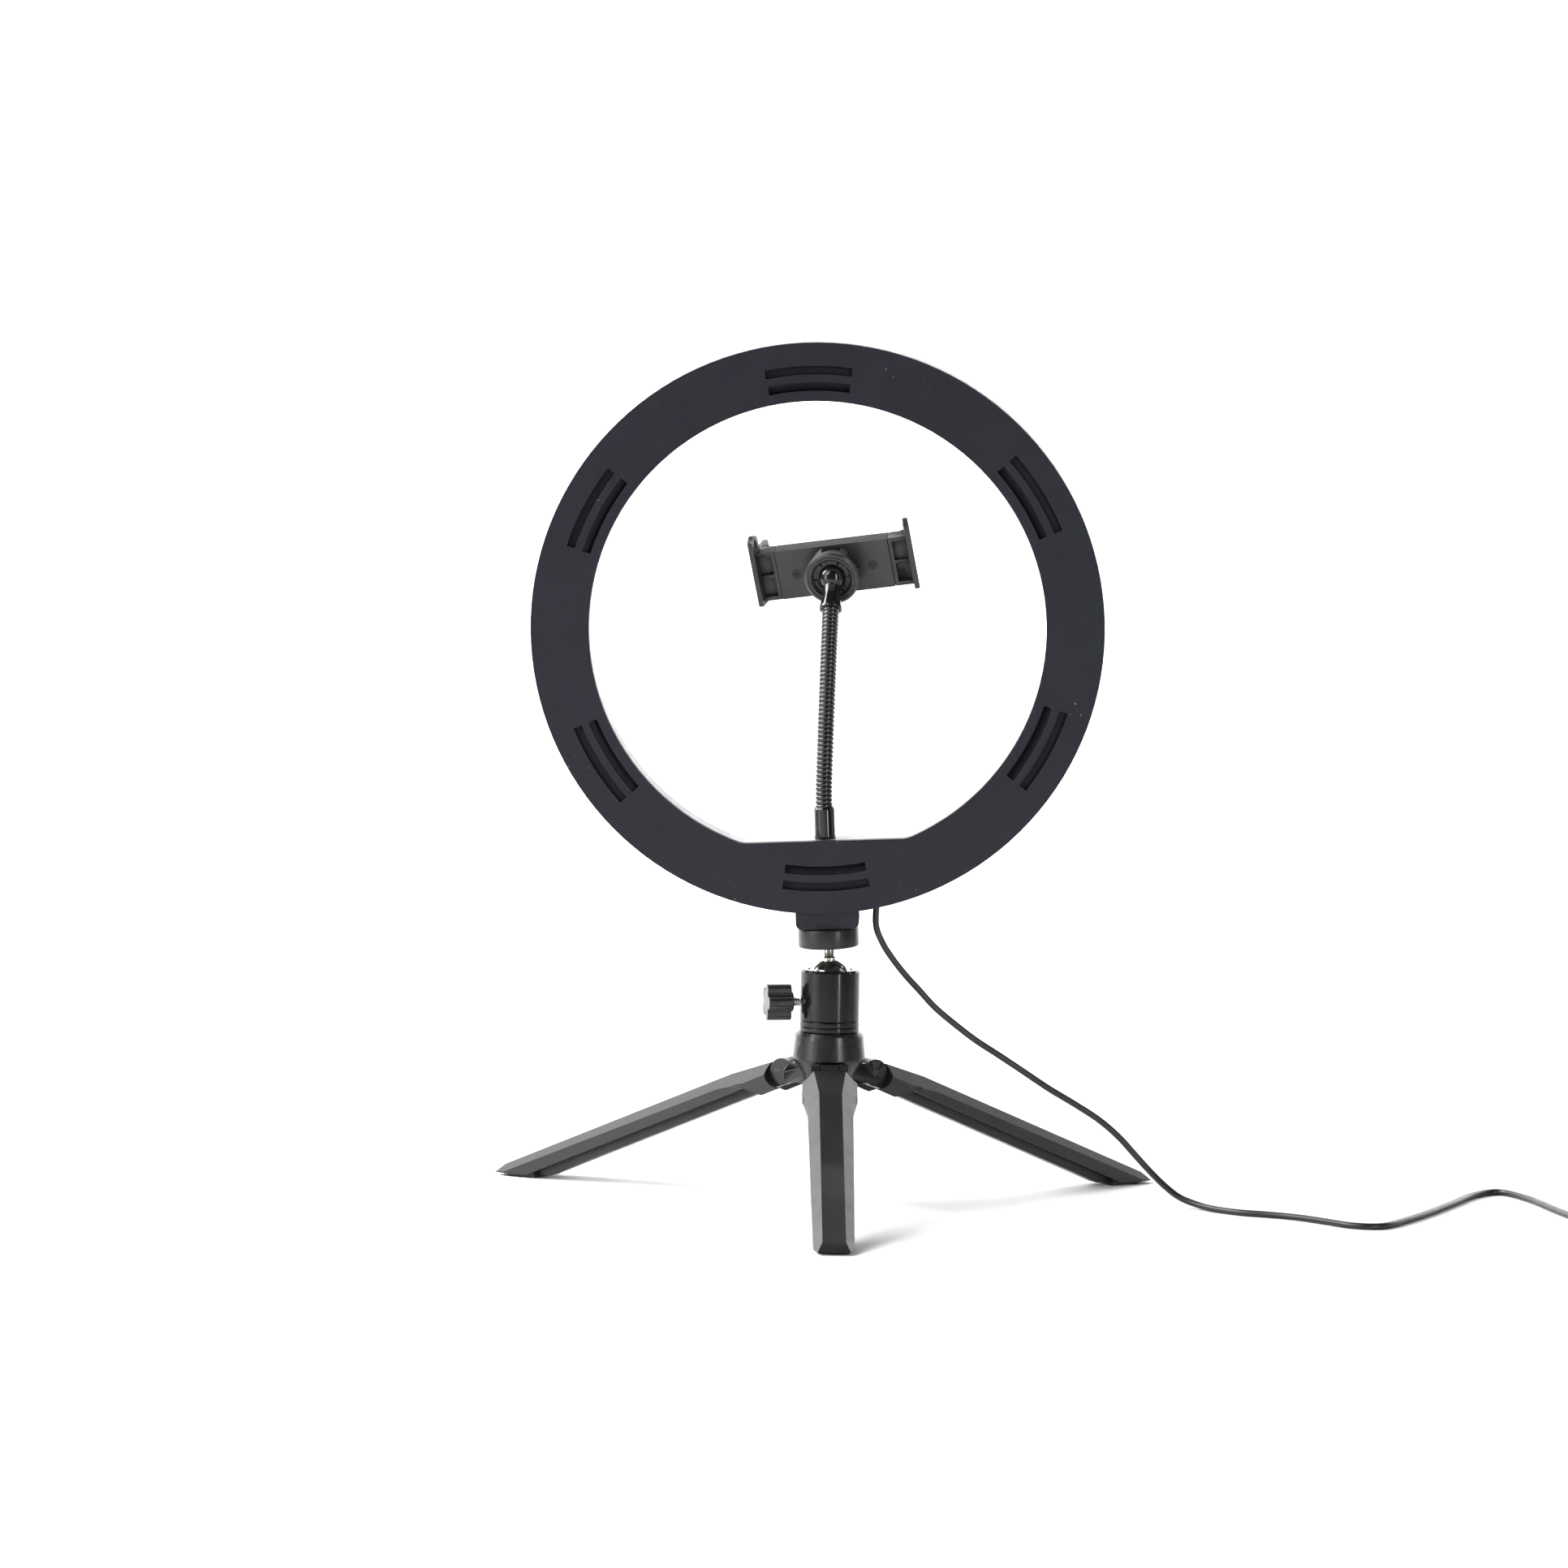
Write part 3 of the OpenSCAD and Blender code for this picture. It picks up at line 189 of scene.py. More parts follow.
def turned(name, place, outline, body, replaced=(), columns=96, wave=None):
    """A turned piece: outline lists (radius, height) in mm up the Z axis of place.
    wave(height, angle) adds to the radius, for threads and lobes."""
    verts, faces = [], []
    for r, z in outline:
        for k in range(columns):
            a = 2 * math.pi * k / columns
            wide = r + wave(z, a) if wave and r > ON_AXIS else r
            verts.append(
                place @ Vector((wide * math.cos(a) * MM, wide * math.sin(a) * MM, z * MM))
            )
    for row in range(len(outline) - 1):
        for k in range(columns):
            n = (k + 1) % columns
            low, high = row * columns, (row + 1) * columns
            faces.append((low + k, low + n, high + n, high + k))
    if outline[0][0] > ON_AXIS:
        faces.append(tuple(range(columns)))
    if outline[-1][0] > ON_AXIS:
        last = (len(outline) - 1) * columns
        faces.append(tuple(range(last, last + columns)))
    return add_piece(name, verts, faces, body, replaced)


def corner(r, z, radius, start, end, steps=5):
    """Points of a rounded corner in an outline, about (r, z), from one angle to another."""
    return [
        (
            r + radius * math.cos(math.radians(start + (end - start) * k / steps)),
            z + radius * math.sin(math.radians(start + (end - start) * k / steps)),
        )
        for k in range(steps + 1)
    ]


def rod(name, place, r, low, high, edge, body, replaced=(), columns=96, wave=None, step=None):
    """A turned rod or disc with rounded ends, its side cut into steps where a wave needs them."""
    outline = [(0, low)] + corner(r - edge, low + edge, edge, -90, 0)
    if step:
        count = int((high - low - 2 * edge) / step)
        outline += [
            (r, low + edge + (high - low - 2 * edge) * k / count) for k in range(1, count)
        ]
    outline += corner(r - edge, high - edge, edge, 0, 90) + [(0, high)]
    return turned(name, place, outline, body, replaced, columns, wave)


# ---------- the lead ----------

# All in mm, as in the CAD model, which has the same route.
LEAD_R = 1.5
LEAD_TOP = (20.7, 37.9, 139)  # inside the grommet
REMOTE_X, REMOTE_MID_Z = 354, 5
COIL_AT = (398, -68)
COIL_RADII = (19.5, 16.5, 13.5)
COIL_HEIGHTS = (1.5, 4.5, 7.5)
STEP_OVER = 0.22  # the share of a turn in which it moves to the next place
CLIMB_FROM = 0.8  # the share of the last turn after which it climbs

FRONT_ROUTE = [
    LEAD_TOP, (20.5, 37.8, 128), (23.5, 38, 120), (28, 38, 113), (34, 38, 105.5),
    (41, 38, 98), (48, 38.5, 90.5), (57, 39, 83), (67, 39.5, 75.5), (78, 40, 68.5),
    (89.5, 40.5, 61), (101, 40.5, 53.5), (113, 40.5, 46.5), (124, 40.5, 39.5), (133, 40, 32),
    (140, 39.5, 24.5), (147, 39, 17), (154, 37, 10.3), (161, 34.5, 5.2), (169, 30, 2.5),
    (177, 22, 1.5), (188, 12, 1.5), (201, 6, 1.5), (213, -2, 1.5),
    (224, -14, 1.5), (235, -26, 1.5), (248, -27, 1.5), (260, -8, 1.5),
    (273, 18, 1.5), (287, 50, 1.5), (301, 82, 1.5), (314, 94, 1.5),
    (325, 72, 1.5), (333, 36, 1.5), (341, 4, 1.5), (349, -17, 2.4),
    (REMOTE_X, -32.9, REMOTE_MID_Z),
]
REAR_ROUTE = [
    (REMOTE_X, -107.1, REMOTE_MID_Z), (354, -112, 4.6), (354, -117, 3.8), (355.6, -123.1, 2.8),
    (360.1, -127.6, 2), (366.3, -129.2, 1.6), (372.4, -127.6, 1.5), (376.9, -123.1, 1.5),
    (378.5, -117, 1.5), (378.5, -106, 1.5), (378.5, -94, 1.5), (378.5, -79, 1.5),
]


def spline(route, steps=6):
    """Points on a smooth curve through the route."""
    line = []
    for k in range(len(route) - 1):
        a, b, c, d = (Vector(route[min(max(k + j, 0), len(route) - 1)]) for j in (-1, 0, 1, 2))
        for t in (s / steps for s in range(steps)):
            line.append(0.5 * (
                2 * b + (c - a) * t + (2 * a - 5 * b + 4 * c - d) * t * t
                + (3 * b - a - 3 * c + d) * t ** 3
            ))
    line.append(Vector(route[-1]))
    return line


def eased(t):
    """From 0 to 1, slow at both ends."""
    t = min(max(t, 0.0), 1.0)
    return t * t * (3 - 2 * t)


def coil_turns(per_turn=36):
    """The stored turns, clockwise, wound inwards, outwards and inwards again in three layers.
    The last turn climbs at its end, to cross over the others on its way out."""
    cells = []
    for layer, z in enumerate(COIL_HEIGHTS):
        cells += [(r, z) for r in (COIL_RADII, COIL_RADII[::-1])[layer % 2]]
    line = []
    for k, (r, z) in enumerate(cells):
        last_r, last_z = cells[max(k - 1, 0)]
        for s in range(per_turn):
            t = eased(s / per_turn / STEP_OVER)
            a = -math.pi - 2 * math.pi * s / per_turn
            radius = last_r + (r - last_r) * t
            late = eased((s / per_turn - CLIMB_FROM) / (1 - CLIMB_FROM))
            climb = 2 * LEAD_R * late if k == len(cells) - 1 else 0
            line.append(Vector((
                COIL_AT[0] + radius * math.cos(a),
                COIL_AT[1] + radius * math.sin(a),
                last_z + (z - last_z) * t + climb,
            )))
    return line


def lead_line():
    """The whole lead: from the light through the remote to the coil, and on to the plug."""
    through = [(REMOTE_X, y, REMOTE_MID_Z) for y in (-45, -70, -95)]
    side = COIL_AT[0] - COIL_RADII[0]
    way_in = [(side, COIL_AT[1] - 6, 1.5)]
    x = COIL_AT[0] - COIL_RADII[-1]
    way_out = [
        (x, COIL_AT[1] + dy, z)
        for dy, z in ((0.0, 10.5), (7, 10.6), (14, 10.4), (21, 8.6), (28, 6), (35, 4.4), (42, 4))
    ]
    line = spline(FRONT_ROUTE + through + REAR_ROUTE + way_in)
    return line + coil_turns()[1:] + spline(way_out)


def make_lead():
    """The lead as a curve, with its points and its length in metres."""
    points = [p * MM for p in lead_line()]
    curve = bpy.data.curves.new("lead", "CURVE")
    curve.dimensions = "3D"
    curve.bevel_depth = 1
    curve.bevel_resolution = 5
    curve.use_fill_caps = True
    line = curve.splines.new("POLY")
    line.points.add(len(points) - 1)
    for point, place in zip(line.points, points):
        point.co = (*place, 1)
        point.radius = LEAD_R * MM
    piece = bpy.data.objects.new("lead", curve)
    scene.collection.objects.link(piece)
    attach(piece, "stand")
    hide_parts("lead_front", "lead_rear", "lead_coil")
    length = sum((b - a).length for a, b in zip(points, points[1:]))
    print("lead length", round(length, 3))
    return piece, points, length


lead, lead_points, lead_length = make_lead()

# ---------- materials ----------


def colour_of(level):
    """A grey or a colour, with alpha."""
    return (*((level,) * 3 if isinstance(level, (int, float)) else level), 1)


class Nodes:
    """A material's node tree, with short ways to add and join nodes."""

    def __init__(self, name):
        self.material = bpy.data.materials.new(name)
        self.material.use_nodes = True
        self.tree = self.material.node_tree
        self.shader = self.tree.nodes["Principled BSDF"]
        self.place = self.add("ShaderNodeTexCoord").outputs["Object"]

    def add(self, kind, **settings):
        node = self.tree.nodes.new(kind)
        for key, value in settings.items():
            setattr(node, key, value)
        return node

    def join(self, source, target):
        self.tree.links.new(source, target)

    def noise(self, scale, detail=3.0, rough=0.5):
        """Noise of that many features a metre."""
        node = self.add("ShaderNodeTexNoise")
        node.inputs["Scale"].default_value = scale
        node.inputs["Detail"].default_value = detail
        node.inputs["Roughness"].default_value = rough
        self.join(self.place, node.inputs["Vector"])
        return node.outputs["Fac"]

    def spread(self, value, low, high, start=0.3, end=0.7):
        """Maps start..end on low..high."""
        node = self.add("ShaderNodeMapRange")
        node.inputs["From Min"].default_value = start
        node.inputs["From Max"].default_value = end
        node.inputs["To Min"].default_value = low
        node.inputs["To Max"].default_value = high
        self.join(value, node.inputs["Value"])
        return node.outputs["Result"]

    def blend(self, factor, first, second):
        """A mix of two colours, either of which may be another node's output."""
        node = self.add("ShaderNodeMix", data_type="RGBA")
        self.join(factor, node.inputs["Factor"])
        for socket, value in ((node.inputs[6], first), (node.inputs[7], second)):
            if isinstance(value, bpy.types.NodeSocket):
                self.join(value, socket)
            else:
                socket.default_value = colour_of(value)
        return node.outputs[2]

    def bump(self, height, strength, distance_mm):
        node = self.add("ShaderNodeBump")
        node.inputs["Strength"].default_value = strength
        node.inputs["Distance"].default_value = distance_mm * MM
        self.join(height, node.inputs["Height"])
        return node.outputs["Normal"]


def moulded(
    name, colour, rough, grain=1400, depth=0.05, mottle=0.12, dust=0.0, coat=0.0, metal=0.0,
    specular=0.5, worn=0.05, recess_mm=0.0,
):
    """Plastic, paint or metal with a fine grain, cloudy tone and gloss, and a little dust.
    depth is the grain's, in mm. Hollows about recess_mm deep get painted shade: a darker colour,
    and they are also duller."""
    n = Nodes(name)
    base = Vector(colour_of(colour)[:3])
    clouds = n.noise(38, 4, 0.6)
    fine = n.noise(grain, 2, 0.6)
    tone = n.blend(n.spread(clouds, 0, 1), base * (1 - mottle), base * (1 + mottle))
    if dust:
        specks = n.spread(n.noise(760, 1, 0.4), 0, 1, 0.77, 0.8)
        patches = n.spread(n.noise(23, 2, 0.5), 0, dust, 0.5, 0.7)
        both = n.add("ShaderNodeMath", operation="MULTIPLY")
        n.join(specks, both.inputs[0])
        n.join(patches, both.inputs[1])
        tone = n.blend(both.outputs[0], tone, 0.55)
    gloss = n.spread(n.noise(95, 5, 0.65), rough - worn, rough + worn)
    # Painted shade: hollows are darkened towards a fifth of the base colour by ambient occlusion,
    # and made duller.
    if recess_mm:
        hollow_occlusion = n.add("ShaderNodeAmbientOcclusion", samples=8)
        hollow_occlusion.inputs["Distance"].default_value = recess_mm * MM
        unshaded = n.spread(hollow_occlusion.outputs["AO"], 0, 1, 0.35, 0.95)
        tone = n.blend(unshaded, base * 0.2, tone)
        gloss = n.blend(unshaded, (0.85, 0.85, 0.85), gloss)
    n.join(tone, n.shader.inputs["Base Color"])
    n.join(gloss, n.shader.inputs["Roughness"])
    n.join(n.bump(fine, 0.6, depth), n.shader.inputs["Normal"])
    n.shader.inputs["Metallic"].default_value = metal
    n.shader.inputs["Specular IOR Level"].default_value = specular
    n.shader.inputs["Coat Weight"].default_value = coat
    n.shader.inputs["Coat Roughness"].default_value = 0.12
    return n.material


def milky():
    """The diffuser: milky plastic that light soaks into, toned down for the bright lamps."""
    n = Nodes("diffuser_white")
    tone = n.blend(n.spread(n.noise(30, 3), 0, 1), (0.42, 0.425, 0.435), (0.46, 0.462, 0.47))
    n.join(tone, n.shader.inputs["Base Color"])
    n.join(n.spread(n.noise(120, 4), 0.3, 0.42), n.shader.inputs["Roughness"])
    n.join(n.bump(n.noise(900, 2), 0.5, 0.02), n.shader.inputs["Normal"])
    n.shader.inputs["Subsurface Weight"].default_value = 0.35
    n.shader.inputs["Subsurface Radius"].default_value = (0.004, 0.004, 0.004)
    n.shader.inputs["Subsurface Scale"].default_value = 1.0
    return n.material


def board():
    """The diodes' board: white in front, and near black behind, where the vents show it, as
    painted shade.
    """
    n = Nodes("board")
    parts = n.add("ShaderNodeSeparateXYZ")
    n.join(n.add("ShaderNodeTexCoord").outputs["Normal"], parts.inputs[0])
    tone = n.blend(n.spread(n.noise(60, 3), 0, 1), (0.74, 0.75, 0.73), (0.82, 0.83, 0.81))
    # Painted shade: the board's back, seen through the vents, is near black.
    tone = n.blend(n.spread(parts.outputs["Y"], 0, 1, -0.1, 0.1), (0.012, 0.012, 0.014), tone)
    n.join(tone, n.shader.inputs["Base Color"])
    n.join(n.spread(n.noise(200, 3), 0.4, 0.55), n.shader.inputs["Roughness"])
    n.join(n.bump(n.noise(500, 2), 0.5, 0.02), n.shader.inputs["Normal"])
    return n.material


MATERIALS = {
    "shell": moulded(
        "shell_black", (0.0105, 0.0116, 0.0175), 0.5, 1500, 0.04, 0.1, 0.3, specular=0.28
    ),
    # Darker than the shell: painted shade for the sheet behind the vents.
    "shade_sheet": moulded("shade_sheet_black", (0.006, 0.0065, 0.009), 0.6, 900, 0.02, specular=0.2),
    "diffuser": milky(),
    "board": board(),
    "warm": moulded("diode_warm", (0.9, 0.68, 0.22), 0.3, 700, 0.02),
    "cool": moulded("diode_cool", (0.86, 0.84, 0.5), 0.3, 700, 0.02),
    "brass": moulded("brass", (0.72, 0.53, 0.24), 0.3, 900, 0.01, 0.08, metal=1.0),
    "rubber": moulded("rubber_black", 0.012, 0.62, 1100, 0.05),
    "wire": moulded("wire_black", 0.007, 0.17, 700, 0.004, 0.1, coat=0.5),
    "gloss": moulded("gloss_black", 0.007, 0.12, 500, 0.004, 0.1, worn=0.03),
    # The clamp's pockets and hollows get painted shade, about recess_mm deep.
    "clamp": moulded(
        "clamp_black", (0.022, 0.022, 0.0245), 0.38, 1800, 0.03, 0.12, 0.25, recess_mm=5
    ),
    "collar": moulded("collar_black", (0.02, 0.02, 0.022), 0.34, 1500, 0.02, 0.12),
    "nylon": moulded("nylon", (0.78, 0.78, 0.74), 0.4, 700, 0.02),
    "dark_pin": moulded("pin_black", 0.01, 0.4, 900, 0.01),
    "dark_screw": moulded("screw_black", 0.035, 0.3, 900, 0.01, metal=0.8),
    "steel": moulded("steel", (0.62, 0.61, 0.6), 0.24, 900, 0.008, 0.08, metal=1.0),
    "chrome": moulded("chrome", (0.78, 0.76, 0.74), 0.05, 300, 0.001, 0.04, metal=1.0, worn=0.02),
    "nickel": moulded("nickel", (0.72, 0.68, 0.62), 0.17, 900, 0.006, 0.1, metal=1.0),
    "head": moulded("head_black", 0.006, 0.15, 700, 0.006, 0.1, 0.15, worn=0.04, specular=0.3),
    "disc": moulded("disc_black", 0.011, 0.27, 1200, 0.012, 0.1, 0.2, specular=0.35),
    "knob": moulded("knob_black", 0.011, 0.3, 1300, 0.014, 0.1),
    "hub": moulded("hub_black", (0.013, 0.013, 0.0145), 0.27, 1500, 0.012, 0.1, 0.1, specular=0.4),
    "leg": moulded("leg_black", (0.0095, 0.0095, 0.011), 0.42, 2100, 0.06, 0.12, 0.15),
    "lead": moulded("lead_black", 0.008, 0.34, 1400, 0.012, 0.1),
    "remote": moulded("remote_black", (0.016, 0.016, 0.018), 0.4, 1700, 0.035, 0.1),
    "button": moulded("button_grey", (0.1, 0.1, 0.11), 0.55, 1500, 0.03, 0.08),
    "tie": moulded("tie_black", 0.018, 0.7, 2600, 0.12, 0.2),
}


def paint(piece, key):
    """Gives a piece or a CAD node its material."""
    piece.data.materials.clear()
    piece.data.materials.append(MATERIALS[key])
    return piece


paint(lead, "lead")

# ---------- light: ring, gooseneck ----------

paint(detailed("rear_housing", 0.45), "shell")
paint(detailed("diffuser", 0.35), "diffuser")
paint(detailed("cable_grommet", 0.25), "rubber")
paint(nodes["led_board"], "board")
paint(nodes["warm_leds"], "warm")
paint(nodes["cool_leds"], "cool")
paint(nodes["tripod_insert"], "brass")
paint(nodes["gooseneck_nut"], "brass")
paint(detailed("gooseneck_ferrule", 0.3), "gloss")


def make_vent_shade_sheet():
    """A near-black sheet just inside the back shell's wall, behind the vents: painted shade for
    the vents' insides.
    """
    inner, outer, back, front = 106, 127.5, 8.75, 8.95
    outline = [(inner, back), (outer, back), (outer, front), (inner, front)]
    turns = 192
    verts, faces = [], []
    for k in range(turns):
        a = 2 * math.pi * k / turns
        verts += [
            RING @ Vector((r * math.cos(a) * MM, r * math.sin(a) * MM, z * MM))
            for r, z in outline
        ]
    for k in range(turns):
        here, there = 4 * k, 4 * ((k + 1) % turns)
        faces += [
            (here + j, here + (j + 1) % 4, there + (j + 1) % 4, there + j) for j in range(4)
        ]
    paint(add_piece("vent_shade_sheet", verts, faces, "light"), "shade_sheet")


make_vent_shade_sheet()

WIRE_PITCH = 2.0
WIRE_R = 4.0
WIRE_GROOVE = 0.85
WIRE_COLUMNS = 28
ROWS_A_PITCH = 14
ROOT_UNDER = 6.0  # the first bend starts this far under the first pivot
TIP_OVER = 8.0  # the last one ends this far past the last pivot
ROOT_IN = 8.0  # the straight end inside the ferrule
TIP_IN = 5.0  # the straight end inside the clamp's ferrule
END_ROWS = 40


def wire_radius(run, angle):
    """The wound tube's outline: one rounded rib a pitch, which climbs as it goes round."""
    u = (run / WIRE_PITCH - angle / (2 * math.pi)) % 1
    return WIRE_R - WIRE_GROOVE * (1 - math.sqrt(max(0.0, 1 - (2 * u - 1) ** 2)))


def make_gooseneck():
    """Seven lengths of ribbed tube, each bent smoothly over one pivot."""
    mids = [(a + b) / 2 for a, b in zip(PIVOTS, PIVOTS[1:])]
    foot = PIVOTS[0] - STUD.to_3x3() @ Vector((0, 0, ROOT_UNDER * MM))
    along = (CLAMP_BALL - PIVOTS[-1]).normalized()
    tip = PIVOTS[-1] + along * TIP_OVER * MM
    stops = [foot] + mids + [tip]
    replaced = [["gooseneck_root", "gooseneck_link_1"]]
    replaced += [[f"gooseneck_link_{k}"] for k in range(2, 7)] + [["gooseneck_tip"]]
    run, columns, step = 0.0, WIRE_COLUMNS, WIRE_PITCH / ROWS_A_PITCH
    for k, pivot in enumerate(PIVOTS):
        a, c = stops[k], stops[k + 1]
        count = int((c - a).length / MM / step)
        line = [
            (1 - t) ** 2 * a + 2 * t * (1 - t) * pivot + t * t * c
            for t in (s / count for s in range(count + 1))
        ]
        if k == 0:
            back = (a - pivot).normalized()
            straight = [a + back * ROOT_IN * MM * (1 - s / END_ROWS) for s in range(END_ROWS)]
            line = straight + line
        if k == len(PIVOTS) - 1:
            line += [c + along * TIP_IN * MM * s / END_ROWS for s in range(1, END_ROWS + 1)]
        verts, faces = [], []
        for i, centre in enumerate(line):
            if i:
                run += (centre - line[i - 1]).length / MM
            heading = (line[min(i + 1, len(line) - 1)] - line[max(i - 1, 0)]).normalized()
            across = frame_from(centre, heading).to_3x3()
            for j in range(columns):
                angle = 2 * math.pi * j / columns
                r = wire_radius(run, angle) * MM
                verts.append(
                    centre + across @ Vector((r * math.cos(angle), r * math.sin(angle), 0))
                )
        for i in range(len(line) - 1):
            for j in range(columns):
                n = (j + 1) % columns
                low, high = i * columns, (i + 1) * columns
                faces.append((low + j, low + n, high + n, high + j))
        faces.append(tuple(range(columns)))
        faces.append(tuple(range((len(line) - 1) * columns, len(line) * columns)))
        piece = add_piece(f"gooseneck_wire_{k + 1}", verts, faces, None, replaced[k])
        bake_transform(piece)
        paint(piece, "wire")


make_gooseneck()

# ---------- phone clamp ----------

for part in ("clamp_back", "clamp_front", "left_jaw", "right_jaw"):
    paint(detailed(part, 0.3), "clamp")
for part in ("left_grip", "right_grip"):
    paint(detailed(part, 0.3), "rubber")
paint(detailed("clamp_collar", 0.35), "collar")
paint(detailed("clamp_screws", 0.12, 2), "dark_screw")
paint(nodes["clamp_ball_liner"], "collar")
for part in ("guide_rods", "left_spring", "right_spring"):
    paint(nodes[part], "steel")


def make_clamp_ball():
    """The gloss ball on its stalk, and the ferrule that takes the gooseneck's end."""
    along = (CLAMP_BALL - PIVOTS[-1]).normalized()
    place = frame_from(CLAMP_BALL, along)
    radius = 6.3
    neck = 3.8
    low = -17.5
    outline = [(4.05, low + 5)]
    outline += [(4.05, low + 0.3)] + corner(4.35, low + 0.3, 0.3, 180, 270)
    outline += corner(4.8, low + 0.4, 0.4, -90, 0) + corner(4.8, low + 1.4, 0.4, 0, 11, 2)
    outline += [(4.3, low + 6), (neck + 0.05, low + 8.2), (neck, low + 8.8)]
    meet = math.degrees(math.asin(neck / radius)) - 90
    outline += [(neck, radius * math.sin(math.radians(meet)) - 0.6)]
    outline += [
        (
            radius * math.cos(math.radians(meet + (90 - meet) * k / 40)),
            radius * math.sin(math.radians(meet + (90 - meet) * k / 40)),
        )
        for k in range(41)
    ]
    outline[-1] = (0, radius)
    paint(turned("clamp_ball_gloss", place, outline, "neck_end", ["clamp_ball"]), "gloss")


make_clamp_ball()

# ---------- ball head ----------

DISC_LOW, DISC_HIGH = 17, 25.6
DISC_R = 13.9
BALL_R = 11
STEM_R = 2.5
CAMERA_THREAD_R = 3.17
LOCK_THREAD_R = 2.2


def thread(pitch, depth):
    """A V thread's wave for a turned piece."""
    def wave(z, angle):
        u = (z / pitch - angle / (2 * math.pi)) % 1
        return -depth * abs(2 * u - 1)
    return wave


def make_ball_stud():
    """The chromed ball, its steel stem with a small shoulder, and the camera thread."""
    start = math.degrees(math.asin(STEM_R / BALL_R))
    ball = [
        (
            BALL_R * math.sin(math.radians(180 - (180 - start) * k / 64)),
            BALL_R * math.cos(math.radians(180 - (180 - start) * k / 64)),
        )
        for k in range(65)
    ]
    ball[0] = (0, -BALL_R)
    paint(turned("ball_chrome", STUD, ball, "platform", ["ball_stud"], 128), "chrome")
    stem = [(STEM_R + 0.7, 10.2)] + corner(STEM_R + 0.4, 11.5, 0.3, 0, 90) + [(STEM_R, 12.1)]
    stem += corner(STEM_R - 0.1, 16.6, 0.1, 0, 0, 1) + [(STEM_R, DISC_LOW + 0.6)]
    paint(turned("stud_stem", STUD, stem, "platform"), "nickel")
    camera_thread = rod(
        "stud_thread", STUD, CAMERA_THREAD_R, DISC_HIGH - 0.4, DISC_HIGH + 8.4, 0.5,
        "platform", (), 48, thread(1.27, 0.6), 0.11,
    )
    paint(camera_thread, "nickel")


make_ball_stud()
disc = rod(
    "platform_face", STUD, DISC_R, DISC_LOW, DISC_HIGH, 0.5, "platform", ["platform_disc"], 160
)
paint(disc, "disc")
paint(nodes["ball_liner"], "nylon")
paint(nodes["pressure_pad"], "nylon")
paint(detailed("head_body", 0.35), "head")
paint(detailed("base_ring", 0.2), "head")


def make_lock_screw():
    """The lock screw: a rolled thread from the head's wall into the knob."""
    screw = rod(
        "lock_thread", LOCK, LOCK_THREAD_R, 10.6, 24.4, 0.6,
        "lock", ["lock_screw"], 48, thread(1.0, 0.42), 0.08,
    )
    paint(screw, "nickel")


make_lock_screw()
paint(detailed("lock_knob", 0.3), "knob")

# ---------- tripod ----------

paint(detailed("hub", 0.45), "hub")
paint(nodes["hub_screw"], "steel")
paint(nodes["leg_pins"], "dark_pin")
for side in ("front", "right", "left"):
    paint(detailed(side + "_leg", 1.0, 4), "leg")
    paint(detailed(side + "_foot", 0.5), "rubber")

# ---------- remote, tie and plug ----------

for part in ("remote_top", "remote_base"):
    paint(detailed(part, 0.3), "remote")
paint(detailed("usb_grip", 0.8, 4), "remote")
paint(detailed("usb_plug", 0.15, 2), "nickel")
for part in ("power", "brighter", "dimmer", "colour"):
    paint(detailed("button_" + part, 0.3), "button")
paint(detailed("coil_tie", 0.25), "tie")

# ---------- studio ----------


# The table top's rows, as far back and half as wide as these, then the sweep behind it.
TABLE = [(-0.97, 0.36), (-0.4, 0.75), (0.5, 1.3), (3.0, 3.0)]
SWEEP_R, SWEEP_STEPS, SWEEP_TOP = 1.5, 12, 3.4


def sheet_of_floor():
    """A pale table top, narrower towards the camera, that sweeps up far behind the object."""
    rows = [(y, 0.0, wide) for y, wide in TABLE]
    start, wide = TABLE[-1]
    rows += [
        (start + SWEEP_R * math.sin(a), SWEEP_R - SWEEP_R * math.cos(a), wide)
        for a in (math.pi / 2 * k / SWEEP_STEPS for k in range(1, SWEEP_STEPS + 1))
    ]
    rows += [(start + SWEEP_R, SWEEP_TOP, wide)]
    verts = [(side * wide, y, z) for y, z, wide in rows for side in (-1, 1)]
    faces = [(2 * k, 2 * k + 1, 2 * k + 3, 2 * k + 2) for k in range(len(rows) - 1)]
    mesh = bpy.data.meshes.new("floor")
    mesh.from_pydata(verts, [], faces)
    for face in mesh.polygons:
        face.use_smooth = True
    floor = bpy.data.objects.new("floor", mesh)
    scene.collection.objects.link(floor)
    n = Nodes("floor_white")
    n.join(
        n.blend(n.spread(n.noise(3, 2), 0, 1), (0.9, 0.9, 0.9), (0.93, 0.93, 0.93)),
        n.shader.inputs["Base Color"],
    )
    n.shader.inputs["Roughness"].default_value = 0.9
    n.shader.inputs["Specular IOR Level"].default_value = 0.1
    floor.data.materials.append(n.material)


def lamp(name, place, aim, size, power):
    """A soft box, size in metres and power in watts, aimed at a point."""
    data = bpy.data.lights.new(name, "AREA")
    data.shape = "RECTANGLE"
    data.size, data.size_y = size
    data.energy = power
    light = bpy.data.objects.new(name, data)
    scene.collection.objects.link(light)
    light.location = place
    light.rotation_mode = "QUATERNION"
    light.rotation_quaternion = (Vector(aim) - Vector(place)).to_track_quat("-Z", "Y")


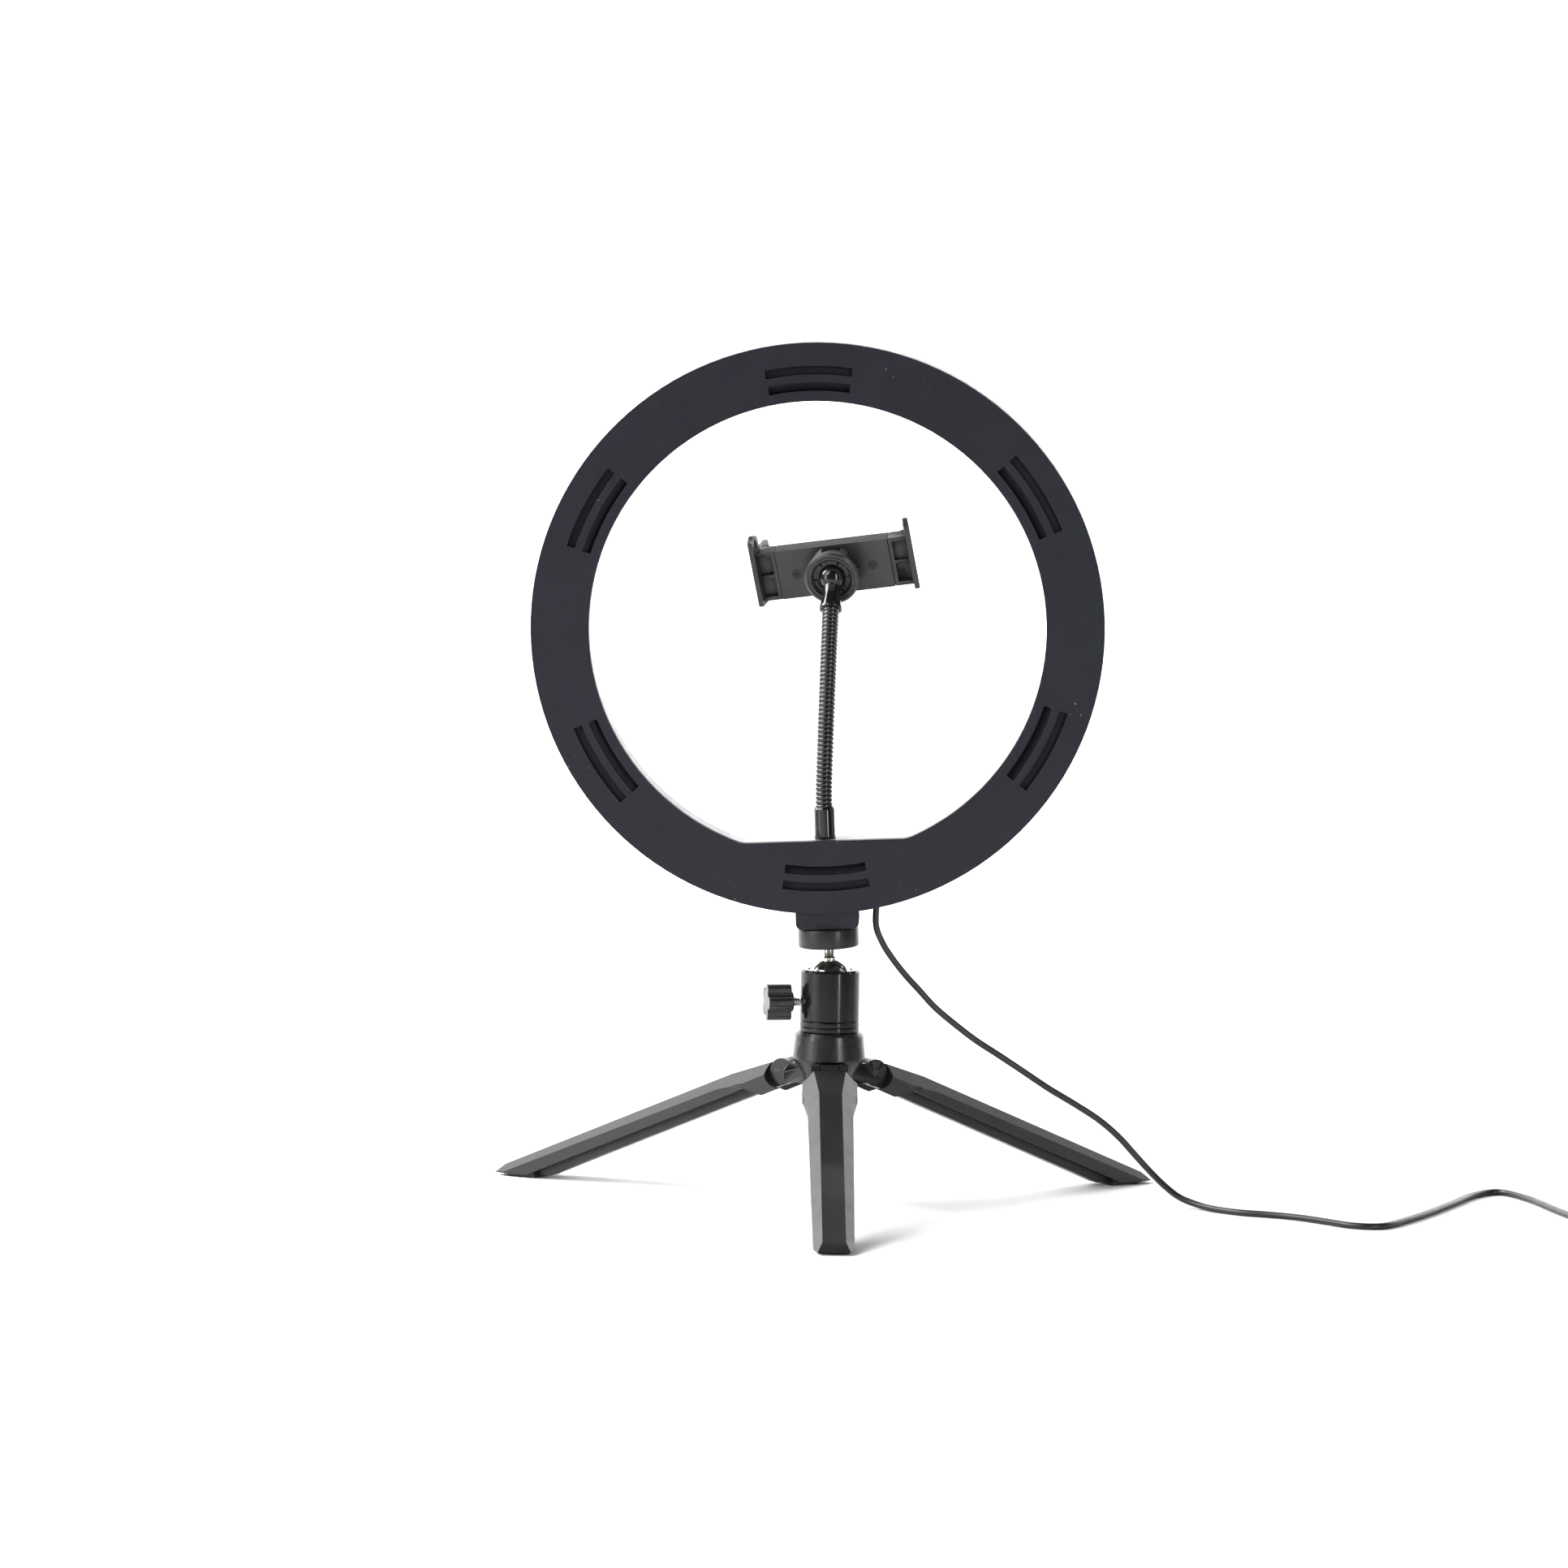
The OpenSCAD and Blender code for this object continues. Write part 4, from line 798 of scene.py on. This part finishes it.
def make_world():
    """Light that is brightest behind the object, low down, and dim in front and overhead."""
    world = bpy.data.worlds.new("studio")
    world.use_nodes = True
    tree = world.node_tree
    parts = tree.nodes.new("ShaderNodeSeparateXYZ")
    place = tree.nodes.new("ShaderNodeTexCoord")
    tree.links.new(place.outputs["Generated"], parts.inputs[0])

    def ramp(value, start, end, low, high):
        node = tree.nodes.new("ShaderNodeMapRange")
        node.inputs["From Min"].default_value = start
        node.inputs["From Max"].default_value = end
        node.inputs["To Min"].default_value = low
        node.inputs["To Max"].default_value = high
        tree.links.new(value, node.inputs["Value"])
        return node.outputs["Result"]

    both = tree.nodes.new("ShaderNodeMath")
    both.operation = "MULTIPLY"
    behind = ramp(parts.outputs["Y"], -0.5, 0.4, 0.1, 0.4)
    low_down = ramp(parts.outputs["Z"], 0.42, 0.58, 1.0, 0.12)
    tree.links.new(behind, both.inputs[0])
    tree.links.new(low_down, both.inputs[1])
    tree.links.new(both.outputs[0], tree.nodes["Background"].inputs["Strength"])
    tree.nodes["Background"].inputs["Color"].default_value = (0.97, 0.98, 1, 1)
    scene.world = world


def make_studio():
    """Soft light, most of it from the left, and a bright sweep behind."""
    sheet_of_floor()
    make_world()
    lamp("key", (-1.85, -0.95, 0.55), (0, 0, 0.25), (1.6, 2.1), 15)
    lamp("near", (-0.75, -0.36, 0.45), (0, 0, 0.2), (0.2, 0.9), 2.6)
    lamp("strip", (1.15, -1.6, 0.4), (0, 0, 0.3), (0.14, 1.8), 20)
    lamp("left", (-2.0, 0.35, 1.65), (0, 0, 0.1), (1.4, 1.4), 100)
    lamp("rim_left", (-1.7, 2.2, 0.8), (0, 0, 0.1), (1.5, 1.5), 19)
    lamp("rim_right", (1.7, 2.2, 0.8), (0, 0, 0.1), (1.4, 1.4), 15)
    lamp("top", (-1.6, -1.2, 1.9), (0, 0, 0), (1.4, 1.4), 34)
    lamp("back", (0, 1.7, 2.6), (0, 4.3, 0.6), (4.0, 1.0), 240)
    scene.view_settings.view_transform = "Standard"


make_studio()
